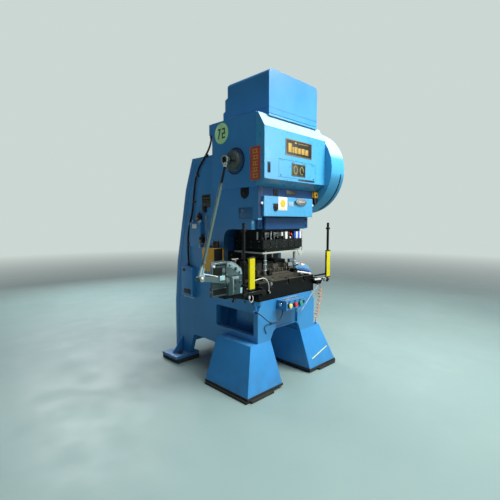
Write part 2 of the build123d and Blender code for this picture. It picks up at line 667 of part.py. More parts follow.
# ---------------------------------------------------------------------------
# Operator's box under the bolster
# ---------------------------------------------------------------------------
BUTTONS = {"button_yellow": -126.0, "button_red": -46.0, "button_green": 29.0}
KEY_Y, KEY_Z = -661.0, 749.0
with BuildPart() as control_box:
    box_at(BOX_LEFT, 120, BOX_FRONT, Y_FRONT, 695, 782)
    fillet(control_box.edges().filter_by(Axis.Z).group_by(Axis.Y)[0], 4)
    # rear of the box, let into the front plate
    box_at(BOX_LEFT + 2, 118, Y_FRONT, -580, 697, 753)
    for x in BUTTONS.values():
        with Locations((x, BOX_FRONT + 20, BTN_Z)):
            Cylinder(8.3, 60, rotation=(90, 0, 0), mode=Mode.SUBTRACT)
    with Locations((BOX_LEFT + 20, KEY_Y, KEY_Z)):
        Cylinder(6.3, 60, rotation=(0, 90, 0), mode=Mode.SUBTRACT)
    # gland bosses underneath
    with Locations((-147, -655, 692)):
        Cylinder(9, 6)
    with Locations((45, -660, 692)):
        Cylinder(10, 6)
finish(control_box, "control_box")

for name, x in BUTTONS.items():
    with BuildPart() as button:
        with Locations((x, BOX_FRONT - 15.5, BTN_Z)):
            Cylinder(21, 18, rotation=(90, 0, 0))
        fillet(button.edges().filter_by(GeomType.CIRCLE).sort_by(Axis.Y)[0], 6)
        with Locations((x, BOX_FRONT + 10, BTN_Z)):
            Cylinder(8, 40, rotation=(90, 0, 0))
    finish(button, name)

with BuildPart() as key_switch:
    with Locations((BOX_LEFT - 11, KEY_Y, KEY_Z)):
        Cylinder(16, 20, rotation=(0, 90, 0))
    fillet(key_switch.edges().filter_by(GeomType.CIRCLE).sort_by(Axis.X)[0], 2)
    box_at(BOX_LEFT - 31, BOX_LEFT - 21, KEY_Y - 3, KEY_Y + 3, KEY_Z - 13, KEY_Z + 13)
    with Locations((BOX_LEFT + 18, KEY_Y, KEY_Z)):
        Cylinder(6, 40, rotation=(0, 90, 0))
finish(key_switch, "key_switch")

# ---------------------------------------------------------------------------
# Light curtain: two yellow bars on black stands
# ---------------------------------------------------------------------------
with BuildPart() as curtain_bars:
    box_at(-606, -542, -686, -664, 945, 1203)
    box_at(516, 580, -686, -664, 933, 1197)
    fillet(curtain_bars.edges().filter_by(Axis.Z), 5)
    with Locations((-541, -672, 1012)):
        Cylinder(8, 10, rotation=(0, 90, 0))
finish(curtain_bars, "curtain_bars")

with BuildPart() as curtain_stand_left:
    box_at(-642, -624, -654, -636, 870, 1490)
    box_at(-640, -413, -645, -617, 880, 906)
    box_at(-413, -405, -645, -520, 862, 930)
    for z in (975, 1145):
        box_at(-642, -590, -664, -650, z, z + 30)
finish(curtain_stand_left, "curtain_stand_left")

with BuildPart() as curtain_stand_right:
    box_at(580, 598, -654, -636, 870, 1490)
    box_at(413, 596, -645, -617, 880, 906)
    box_at(405, 413, -645, -520, 862, 930)
    for z in (965, 1140):
        box_at(560, 598, -664, -650, z, z + 30)
    with Locations((440, -632, 875)):
        Cylinder(9, 14)
    with Locations((480, -631, 872)):
        Cylinder(13, 20)
finish(curtain_stand_right, "curtain_stand_right")

# ---------------------------------------------------------------------------
# Units on the left side of the column
# ---------------------------------------------------------------------------
with BuildPart() as lubricator:
    box_at(-540, -HALF_W, -145, 36, 1030, 1250)
    fillet(lubricator.edges().filter_by(Axis.Z).group_by(Axis.X)[0], 8)
    with Locations((-480, -100, 1250 + 20)):
        Cylinder(26, 40)
    fillet(lubricator.edges().filter_by(GeomType.CIRCLE).group_by(Axis.Z)[-1], 4)
finish(lubricator, "lubricator")

with BuildPart() as air_unit:
    box_at(-460, -HALF_W, 165, 348, 1245, 1492)
    fillet(air_unit.edges().filter_by(Axis.Z).group_by(Axis.X)[0], 6)
    with Locations((-440, 190, 1492 + 16)):
        Cylinder(15, 32)
finish(air_unit, "air_unit")

with BuildPart() as junction_box:
    box_at(-465, -HALF_W, 291, 492, 712, 1025)
    fillet(junction_box.edges().filter_by(Axis.X), 8)
    with Locations((-437, 405, 1030)):
        Cylinder(13, 12)
finish(junction_box, "junction_box")

# ---------------------------------------------------------------------------
# Roll feeder on the left end of the bolster
# ---------------------------------------------------------------------------
with BuildPart() as feeder_bracket:
    box_at(-430, -405, -500, -395, 802, 952)
    box_at(-700, -430, -490, -400, 850, 880)
    for d in (400, 476):
        with BuildSketch(Plane.XZ.offset(d)):
            with BuildLine():
                Polyline((-430, 850), (-640, 850), (-430, 805), close=True)
            make_face()
        extrude(amount=14)
finish(feeder_bracket, "feeder_bracket")

SCREW_X, SCREW_Y = -553.0, -450.0
with BuildPart() as feeder_body:
    box_at(-640, -512, -508, FEED_Y1, 880, 1040)
    box_at(-850, -640, -495, -471, 884, 966)
    box_at(-760, -640, -471, -400, 884, 966)
    box_at(-850, -640, FEED_Y0, FEED_Y0 + 18, 966, 1026)
    box_at(-800, -640, FEED_Y0, FEED_Y0 + 18, 966, 1140)
    box_at(-680, -640, -508, -482, 880, 1040)
    box_at(-755, -640, FEED_Y1 - 18, FEED_Y1, 966, 1140)
    fillet(feeder_body.edges().filter_by(Axis.Y).filter_by(
        lambda e: e.center().X > -513 and e.center().Z > 1000), 5)
    # bridge over the strip that carries the pressure screw
    for y0 in (FEED_Y0, FEED_Y1 - 18):
        box_at(-580, -536, y0, y0 + 18, 1040, 1094)
    box_at(-580, -536, FEED_Y0, FEED_Y1, 1078, 1094)
    with Locations((SCREW_X, SCREW_Y, 1086)):
        Cylinder(8 + RUN_FIT, 30, mode=Mode.SUBTRACT)
    # pass line through the right block
    box_at(-641, -511, -474, -438, 1034, 1041, mode=Mode.SUBTRACT)
    for z in (ROLL_LOW_Z, ROLL_UP_Z):
        with Locations((FEED_X, (FEED_Y0 + FEED_Y1) / 2, z)):
            Cylinder(18 + RUN_FIT, 140, rotation=(90, 0, 0), mode=Mode.SUBTRACT)
finish(feeder_body, "feeder_body")

# Hood over the rolls, open towards the operator and underneath; its rear left
# corner is cut off at a slant
with BuildPart() as hood_room:
    with BuildSketch(Plane.XZ.offset(394)):
        with BuildLine():
            Polyline((-850, 1043), (-850, 1132), (-814.5, 1162), (-641, 1162), (-590, 1136), (-534, 1097), (-517, 1043),
                     close=True)
        make_face()
    extrude(amount=108)
    with BuildSketch(Plane.XY.offset(1030)):
        with BuildLine():
            Polyline((-852.5, -505), (-776.2, -388), (-870, -388), (-870, -505), close=True)
        make_face()
    extrude(amount=150, mode=Mode.SUBTRACT)
with BuildPart() as feeder_hood:
    with BuildSketch(Plane.XZ.offset(390)):
        with BuildLine():
            Polyline((-854, 1044), (-854, 1134), (-816, 1166), (-640, 1166), (-588, 1140), (-530, 1100), (-512, 1044),
                     close=True)
        make_face()
    extrude(amount=116)
    with BuildSketch(Plane.XY.offset(1030)):
        with BuildLine():
            Polyline((-854, -500), (-781, -388), (-870, -388), (-870, -500), close=True)
        make_face()
    extrude(amount=150, mode=Mode.SUBTRACT)
    add(hood_room.part, mode=Mode.SUBTRACT)
    box_at(-844, -706, -507, -501, 1040, 1128, mode=Mode.SUBTRACT)
    box_at(-810, -706, -507, -501, 1128, 1150, mode=Mode.SUBTRACT)
    # slots for the strip in both end walls
    box_at(-870, -780, -474, -438, 1043, 1072, mode=Mode.SUBTRACT)
    box_at(-540, -505, -474, -438, 1043, 1072, mode=Mode.SUBTRACT)
    # hole for the roll pressure screw
    with Locations((SCREW_X, SCREW_Y, 1130)):
        Cylinder(9.5, 60, mode=Mode.SUBTRACT)
finish(feeder_hood, "feeder_hood")


def feed_gear(radius, teeth, phase):
    """Outline points of a plain spur gear."""
    pts = []
    step = 360 / teeth
    for i in range(teeth):
        a = phase + i * step
        for r, d in ((radius - 3.6, -0.33), (radius - 3.6, -0.27), (radius + 2.6, -0.10), (radius + 2.6, 0.10),
                     (radius - 3.6, 0.27), (radius - 3.6, 0.33)):
            t = radians(a + d * step)
            pts.append((r * cos(t), r * sin(t)))
    return pts


TEETH = 24
for name, z, phase, y_front in (("lower_feed_roll", ROLL_LOW_Z, 90.0, -548.0),
                                ("upper_feed_roll", ROLL_UP_Z, 90.0 + 180.0 / TEETH, -501.5)):
    with BuildPart() as roll:
        with Locations((FEED_X, -456, z)):
            Cylinder(ROLL_R, 44, rotation=(90, 0, 0))
        with Locations((FEED_X, (y_front - 394) / 2, z)):
            Cylinder(18, -394 - y_front, rotation=(90, 0, 0))
        with BuildSketch(Plane((FEED_X, -417, z), x_dir=(1, 0, 0), z_dir=(0, -1, 0))):
            with BuildLine():
                Polyline(*feed_gear((2 * ROLL_R + ROLL_GAP) / 2, TEETH, phase), close=True)
            make_face()
        extrude(amount=13)
    finish(roll, name)

# Rocker arm, driven by the link rod, on the lower roll's shaft
ARM_DX, ARM_DZ = ARM_END[0] - FEED_X, ARM_END[1] - ROLL_LOW_Z
ARM_LEN = hypot(ARM_DX, ARM_DZ)
ARM_ANG = degrees(atan2(ARM_DZ, ARM_DX))
with BuildPart() as feeder_arm:
    with BuildSketch(Plane.XZ.offset(522)):
        with Locations((FEED_X, ROLL_LOW_Z)):
            Circle(25)
        with Locations(ARM_END):
            Circle(19)
        make_hull()
    extrude(amount=18)
    with Locations((ARM_END[0], -548, ARM_END[1])):
        Cylinder(8, 52, rotation=(90, 0, 0))
    with Locations((ARM_END[0], -577, ARM_END[1])):
        Cylinder(14, 6, rotation=(90, 0, 0))
    with Locations((FEED_X, -531, ROLL_LOW_Z)):
        Cylinder(18 + RUN_FIT, 40, rotation=(90, 0, 0), mode=Mode.SUBTRACT)
finish(feeder_arm, "feeder_arm")

# Link rod: tube with a threaded end and a rod eye at each end
B = Vector(ARM_END[0], -557, ARM_END[1])
T = Vector(*ROD_TOP)
along = (T - B).normalized()
LINK_LEN = (T - B).length
with BuildPart() as link_rod:
    with BuildSketch(Plane(B + along * 17, z_dir=along)):
        Circle(9)
    extrude(amount=90)
    with BuildSketch(Plane(B + along * 95, z_dir=along)):
        Circle(14)
    extrude(amount=LINK_LEN - 95 - 260)
    with BuildSketch(Plane(B + along * (LINK_LEN - 262), z_dir=along)):
        Circle(9)
    extrude(amount=262 - 20)
    # eyes
    with Locations(B):
        Cylinder(22, 20, rotation=(90, 0, 0))
    with Locations(T):
        Cylinder(30, 30, rotation=(0, 90, 0))
    # drive stud at the crank end
    with Locations(T + Vector(0, 0, 0)):
        Cylinder(12, 44, rotation=(0, 90, 0))
    with Locations(B):
        Cylinder(8 + RUN_FIT, 40, rotation=(90, 0, 0), mode=Mode.SUBTRACT)
finish(link_rod, "link_rod")

# Roll pressure screw with a T-handle
with BuildPart() as pressure_screw:
    with Locations((SCREW_X, SCREW_Y, 1127)):
        Cylinder(8, 94)
    with Locations((SCREW_X, SCREW_Y, 1175)):
        Cylinder(6, 76, rotation=(0, 90, 0))
    with Locations((SCREW_X, SCREW_Y, 1164)):
        Cylinder(13, 17)
finish(pressure_screw, "pressure_screw")


# ---------------------------------------------------------------------------
# Hoses and cables
# ---------------------------------------------------------------------------
def route(name, pts, section_r, tightest, longest_ok):
    """Fillet radii for a route of straight runs, as large as the runs allow."""
    vs = [Vector(*p) for p in pts]
    radii, report = [], []
    for a, b, c in zip(vs, vs[1:], vs[2:]):
        turn = (b - a).get_angle(c - b)
        r = 0.45 * min((b - a).length, (c - b).length) / tan(radians(turn) / 2)
        radii.append(min(r, 4000.0))
        report.append(f"{turn:.0f}deg R{min(r, 4000.0):.0f}")
    runs = [(b - a).length for a, b in zip(vs, vs[1:])]
    print(name, "runs", [round(r) for r in runs], "turns", report)
    return radii


def report_tube(name, builder, length, section_r):
    print(name, f"length {length:.1f} mm, volume {builder.part.volume:.0f}, "
          f"section x length {pi * section_r ** 2 * length:.0f}")


CORDS = {
    # held along the side plate from the crown outlet to the junction box
    "side_hose": (10.0, [(-437, 6, 2318), (-437, 6, 2272), (-437, 42, 2200), (-437, 112, 2128), (-437, 180, 2066),
                         (-437, 240, 1990), (-437, 276, 1898), (-437, 297, 1790), (-437, 313, 1680), (-437, 335, 1580),
                         (-437, 366, 1498), (-437, 398, 1420), (-437, 412, 1320), (-437, 414, 1210), (-437, 405, 1112),
                         (-437, 405, 1036)]),
    # from the left side plate round the corner to the underside of the operator's box
    "panel_cable": (4.5, [(-430, -584, 703), (-430, -604, 702), (-423, -628, 694), (-403, -644, 674), (-373, -652, 644),
                          (-331, -654, 612), (-279, -654, 590), (-226, -653, 589), (-184, -654, 614), (-158, -655, 645),
                          (-147, -655, 671), (-147, -655, 689)]),
    # from the right light curtain stand to the underside of the operator's box
    "curtain_cable": (5.5, [(440, -632, 868), (440, -632, 850), (424, -634, 829), (388, -639, 813), (340, -645, 793),
                            (292, -651, 765), (240, -659, 731), (186, -666, 695), (142, -669, 664), (104, -669, 641),
                            (74, -667, 633), (52, -663, 643), (45, -660, 666), (45, -660, 689)]),
    # from the left light curtain bar over the bolster's front edge
    "bolster_hose": (4.0, [(-536, -672, 1012), (-510, -672, 1012), (-466, -667, 1018), (-412, -656, 1018),
                           (-362, -645, 1000), (-323, -634, 964), (-301, -622, 926), (-291, -612, 902), (-291, -612, 880)]),
    # coiled air hose, from the right stand to the ledge of the right foot
    "coil_hose": (23.0, [(480, -631, 862), (480, -631, 798), (482, -625, 715), (485, -613, 640), (484, -598, 568),
                         (480, -585, 500), (480, -585, 446)]),
}
for name, (r, pts) in CORDS.items():
    with BuildPart() as cord:
        with BuildLine() as path:
            line = FilletPolyline(*pts, radius=route(name, pts, r, 0, 0))
        with BuildSketch(Plane(line @ 0, z_dir=line % 0)):
            Circle(r)
        sweep()
    report_tube(name, cord, line.length, r)
    finish(cord, name)
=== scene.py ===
import bpy, bmesh, math
from mathutils import Vector, Matrix


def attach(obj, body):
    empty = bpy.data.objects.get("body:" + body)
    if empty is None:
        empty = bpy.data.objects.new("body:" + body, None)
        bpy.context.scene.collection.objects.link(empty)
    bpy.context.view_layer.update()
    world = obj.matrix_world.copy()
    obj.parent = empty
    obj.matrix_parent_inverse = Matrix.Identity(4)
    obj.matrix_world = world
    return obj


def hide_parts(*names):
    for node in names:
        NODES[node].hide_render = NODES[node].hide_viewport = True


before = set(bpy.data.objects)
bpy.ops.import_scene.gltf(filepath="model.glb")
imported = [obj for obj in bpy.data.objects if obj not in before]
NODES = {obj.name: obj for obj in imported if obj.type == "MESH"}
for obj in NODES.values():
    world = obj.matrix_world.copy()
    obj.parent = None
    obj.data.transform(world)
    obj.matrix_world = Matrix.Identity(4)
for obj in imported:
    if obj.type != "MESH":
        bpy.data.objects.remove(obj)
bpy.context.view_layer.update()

MM = 0.001
SCENE = bpy.context.scene

# ---------------------------------------------------------------------------
# camera
# ---------------------------------------------------------------------------
cam_data = bpy.data.cameras.new("camera")
cam = bpy.data.objects.new("camera", cam_data)
SCENE.collection.objects.link(cam)
az, el = math.radians(-44.6), math.radians(4.5)
back = Vector((math.sin(az) * math.cos(el), -math.cos(az) * math.cos(el), math.sin(el)))
right = Vector((math.cos(az), math.sin(az), 0))
up = back.cross(right)
m = Matrix((right, up, back)).transposed().to_4x4()
m.translation = Vector((-2.655, -2.75, 1.5))
cam.matrix_world = m
cam_data.lens = 25.92
cam_data.sensor_width = 36
cam_data.shift_x = 0.003
SCENE.camera = cam
SCENE.view_settings.view_transform = "Standard"


# ---------------------------------------------------------------------------
# materials
# ---------------------------------------------------------------------------
class Mat:
    """A node material built by short calls; positions are object space, in metres."""

    def __init__(self, name, rough=0.5, metal=0.0, coat=0.0, coat_rough=0.1, spec=0.5, ior=1.5):
        self.m = bpy.data.materials.new(name)
        self.m.use_nodes = True
        self.nt = self.m.node_tree
        self.nt.nodes.clear()
        self.out = self.nt.nodes.new("ShaderNodeOutputMaterial")
        self.b = self.nt.nodes.new("ShaderNodeBsdfPrincipled")
        self.link(self.b.outputs[0], self.out.inputs[0])
        self.co = self.nt.nodes.new("ShaderNodeTexCoord").outputs["Object"]
        self.geo = self.nt.nodes.new("ShaderNodeNewGeometry")
        i = self.b.inputs
        i["Roughness"].default_value = rough
        i["Metallic"].default_value = metal
        i["Coat Weight"].default_value = coat
        i["Coat Roughness"].default_value = coat_rough
        i["Specular IOR Level"].default_value = spec
        i["IOR"].default_value = ior

    def link(self, a, b):
        self.nt.links.new(a, b)

    def noise(self, scale, detail=3.0, rough=0.55, stretch=(1, 1, 1), distort=0.0):
        mp = self.nt.nodes.new("ShaderNodeMapping")
        mp.inputs["Scale"].default_value = stretch
        self.link(self.co, mp.inputs["Vector"])
        n = self.nt.nodes.new("ShaderNodeTexNoise")
        n.inputs["Scale"].default_value = scale
        n.inputs["Detail"].default_value = detail
        n.inputs["Roughness"].default_value = rough
        n.inputs["Distortion"].default_value = distort
        self.link(mp.outputs[0], n.inputs["Vector"])
        return n.outputs["Fac"]

    def rng(self, v, a0, a1, b0=0.0, b1=1.0):
        n = self.nt.nodes.new("ShaderNodeMapRange")
        n.inputs["From Min"].default_value = a0
        n.inputs["From Max"].default_value = a1
        n.inputs["To Min"].default_value = b0
        n.inputs["To Max"].default_value = b1
        self.link(v, n.inputs["Value"])
        return n.outputs[0]

    def op(self, kind, a, b=0.0):
        n = self.nt.nodes.new("ShaderNodeMath")
        n.operation = kind
        for i, v in enumerate((a, b)):
            if isinstance(v, (int, float)):
                n.inputs[i].default_value = v
            else:
                self.link(v, n.inputs[i])
        return n.outputs[0]

    def mix(self, fac, a, b):
        n = self.nt.nodes.new("ShaderNodeMix")
        n.data_type = "RGBA"
        for k, v in ((0, fac), (6, a), (7, b)):
            if isinstance(v, (int, float)):
                n.inputs[k].default_value = v
            elif isinstance(v, tuple):
                n.inputs[k].default_value = (*v, 1.0)
            else:
                self.link(v, n.inputs[k])
        return n.outputs[2]

    def comp(self, vec, axis):
        n = self.nt.nodes.new("ShaderNodeSeparateXYZ")
        self.link(vec, n.inputs[0])
        return n.outputs[axis]

    def edges(self, radius, lo=0.02, hi=0.25):
        """Mask that is 1 at convex edges, and the rounded normal."""
        bv = self.nt.nodes.new("ShaderNodeBevel")
        bv.samples = 3
        bv.inputs["Radius"].default_value = radius
        d = self.nt.nodes.new("ShaderNodeVectorMath")
        d.operation = "DOT_PRODUCT"
        self.link(bv.outputs[0], d.inputs[0])
        self.link(self.geo.outputs["Normal"], d.inputs[1])
        inv = self.op("SUBTRACT", 1.0, d.outputs["Value"])
        return self.rng(inv, lo, hi), bv.outputs[0]

    def bump(self, height, strength, distance, normal=None):
        n = self.nt.nodes.new("ShaderNodeBump")
        n.inputs["Strength"].default_value = strength
        n.inputs["Distance"].default_value = distance
        self.link(height, n.inputs["Height"])
        if normal is not None:
            self.link(normal, n.inputs["Normal"])
        return n.outputs[0]

    def color(self, v):
        self.link(v, self.b.inputs["Base Color"])

    def rough(self, v):
        self.link(v, self.b.inputs["Roughness"])

    def normal(self, v):
        self.link(v, self.b.inputs["Normal"])

    def metal(self, v):
        self.link(v, self.b.inputs["Metallic"])


def dim(c, k):
    return tuple(min(1.0, x * k) for x in c)


def enamel(name, c, rough=0.3, coat=0.35, spec=0.5, wear=1.0, dust=0.5, streaks=0.5, chip=(0.10, 0.09, 0.085), edge=0.0035, peel=0.35,
           ceiling_highlight=0.0, ceiling_highlight_top=(0.74, 0.62), shade_boxes=(), underside_shade=0.0, top_shade=None):
    """Brushed or sprayed machine enamel: tone changes, run marks, chipped edges and dust on top, plus optional painted
    highlight and painted shade.
    """
    t = Mat(name, rough=rough, coat=coat, coat_rough=0.16, spec=spec)
    base = t.mix(t.rng(t.noise(1.7, 4), 0.3, 0.7), dim(c, 0.88), dim(c, 1.08))
    run = t.rng(t.noise(1.0, 5, 0.6, (14, 14, 0.8)), 0.52, 0.78)
    base = t.mix(t.op("MULTIPLY", run, 0.35 * streaks), base, dim(c, 0.55))
    soil = t.rng(t.noise(5.5, 6, 0.68), 0.56, 0.82)
    base = t.mix(t.op("MULTIPLY", soil, 0.30 * streaks), base, (0.06, 0.08, 0.09))
    # soil near the floor
    low = t.rng(t.comp(t.co, 2), 0.32, 0.0)
    base = t.mix(t.op("MULTIPLY", low, t.rng(t.noise(9, 5), 0.35, 0.75, 0, 0.45)), base, (0.05, 0.06, 0.06))
    mask, nrm = t.edges(edge)
    chips = t.op("MULTIPLY", mask, t.rng(t.noise(38, 5, 0.7), 0.50, 0.58, 0, wear))
    base = t.mix(t.op("MULTIPLY", mask, 0.18), base, dim(c, 1.7))
    base = t.mix(chips, base, chip)
    nz = t.comp(t.geo.outputs["Normal"], 2)
    upf = t.rng(nz, 0.6, 0.95)
    base = t.mix(t.op("MULTIPLY", upf, t.rng(t.noise(14, 5), 0.3, 0.8, 0, dust)), base, (0.33, 0.34, 0.32))
    if ceiling_highlight:
        # painted highlight: faces tilted to the ceiling are lightened towards a pale blue, as if washed out by the
        # ceiling lights
        highlight_mask = t.op("MULTIPLY", t.rng(nz, 0.24, 0.34), t.rng(nz, *ceiling_highlight_top))
        base = t.mix(t.op("MULTIPLY", highlight_mask, ceiling_highlight), base, (0.42, 0.55, 0.70))
    if underside_shade:
        # painted shade: faces leaning to the floor are darkened, as they turn away from the light
        base = t.mix(t.op("MULTIPLY", t.rng(nz, -0.08, -0.22), underside_shade), base, dim(c, 0.25))
    if top_shade:
        # painted shade: darker towards the top, where the light falls off
        base = t.mix(t.rng(t.comp(t.co, 2), top_shade[0], top_shade[1], 0, top_shade[2]), base, dim(c, 0.45))
    for x0, x1, y0, z0, z1, k in shade_boxes:
        # painted shade of openings and overhangs: faces turned to the operator inside these limits are darkened
        x, y, z = (t.comp(t.co, a) for a in range(3))
        inside = t.op("LESS_THAN", t.comp(t.geo.outputs["Normal"], 1), -0.3)
        for v, kind, lim in ((x, "GREATER_THAN", x0), (x, "LESS_THAN", x1), (y, "GREATER_THAN", y0), (z, "GREATER_THAN", z0), (z, "LESS_THAN", z1)):
            inside = t.op("MULTIPLY", inside, t.op(kind, v, lim))
        base = t.mix(t.op("MULTIPLY", inside, k), base, dim(c, 0.15))
    t.color(base)
    t.rough(t.op("ADD", t.rng(t.noise(7, 4), 0.3, 0.75, rough - 0.06, rough + 0.14), t.op("MULTIPLY", chips, 0.3)))
    h = t.op("ADD", t.noise(150, 2), t.op("MULTIPLY", t.noise(11, 2), 2.0))
    t.normal(t.bump(h, peel, 0.0006, nrm))
    return t.m


def steel(name, c, rough=0.35, metal=1.0, aniso=(60, 60, 3), soil=(0.06, 0.055, 0.05), dirt=0.35, edge=0.0015, bright=1.4,
          scratch=0.25, coat=0.0, spec=0.5):
    """Machined or oily steel with a lay, smears and brighter worn edges."""
    t = Mat(name, rough=rough, metal=metal, coat=coat, spec=spec)
    lay = t.noise(5, 5, 0.6, aniso)
    base = t.mix(t.rng(lay, 0.3, 0.7), dim(c, 0.80), dim(c, 1.12))
    base = t.mix(t.op("MULTIPLY", t.rng(t.noise(13, 6, 0.7), 0.45, 0.8), dirt), base, soil)
    mask, nrm = t.edges(edge)
    base = t.mix(t.op("MULTIPLY", mask, 0.6), base, dim(c, bright))
    t.color(base)
    t.rough(t.op("ADD", t.rng(t.noise(24, 4), 0.3, 0.8, rough - 0.08, rough + 0.16), t.op("MULTIPLY", lay, 0.08)))
    t.normal(t.bump(lay, scratch, 0.0003, nrm))
    return t.m


def plastic(name, c, rough=0.35, grain=0.15, grain_scale=260, spec=0.5, coat=0.0, edge=0.001, fade=0.15):
    """Moulded plastic or rubber with a fine grain and a little handling soil."""
    t = Mat(name, rough=rough, spec=spec, coat=coat)
    base = t.mix(t.rng(t.noise(9, 4), 0.3, 0.75), dim(c, 1.0 - fade), dim(c, 1.0 + fade))
    base = t.mix(t.op("MULTIPLY", t.rng(t.noise(45, 5), 0.5, 0.85), 0.35), base, dim(c, 0.5))
    mask, nrm = t.edges(edge)
    base = t.mix(t.op("MULTIPLY", mask, 0.3), base, tuple(min(1, x * 1.4 + 0.02) for x in c))
    t.color(base)
    t.rough(t.rng(t.noise(30, 3), 0.3, 0.8, rough - 0.08, rough + 0.12))
    t.normal(t.bump(t.noise(grain_scale, 2), grain, 0.0003, nrm))
    return t.m


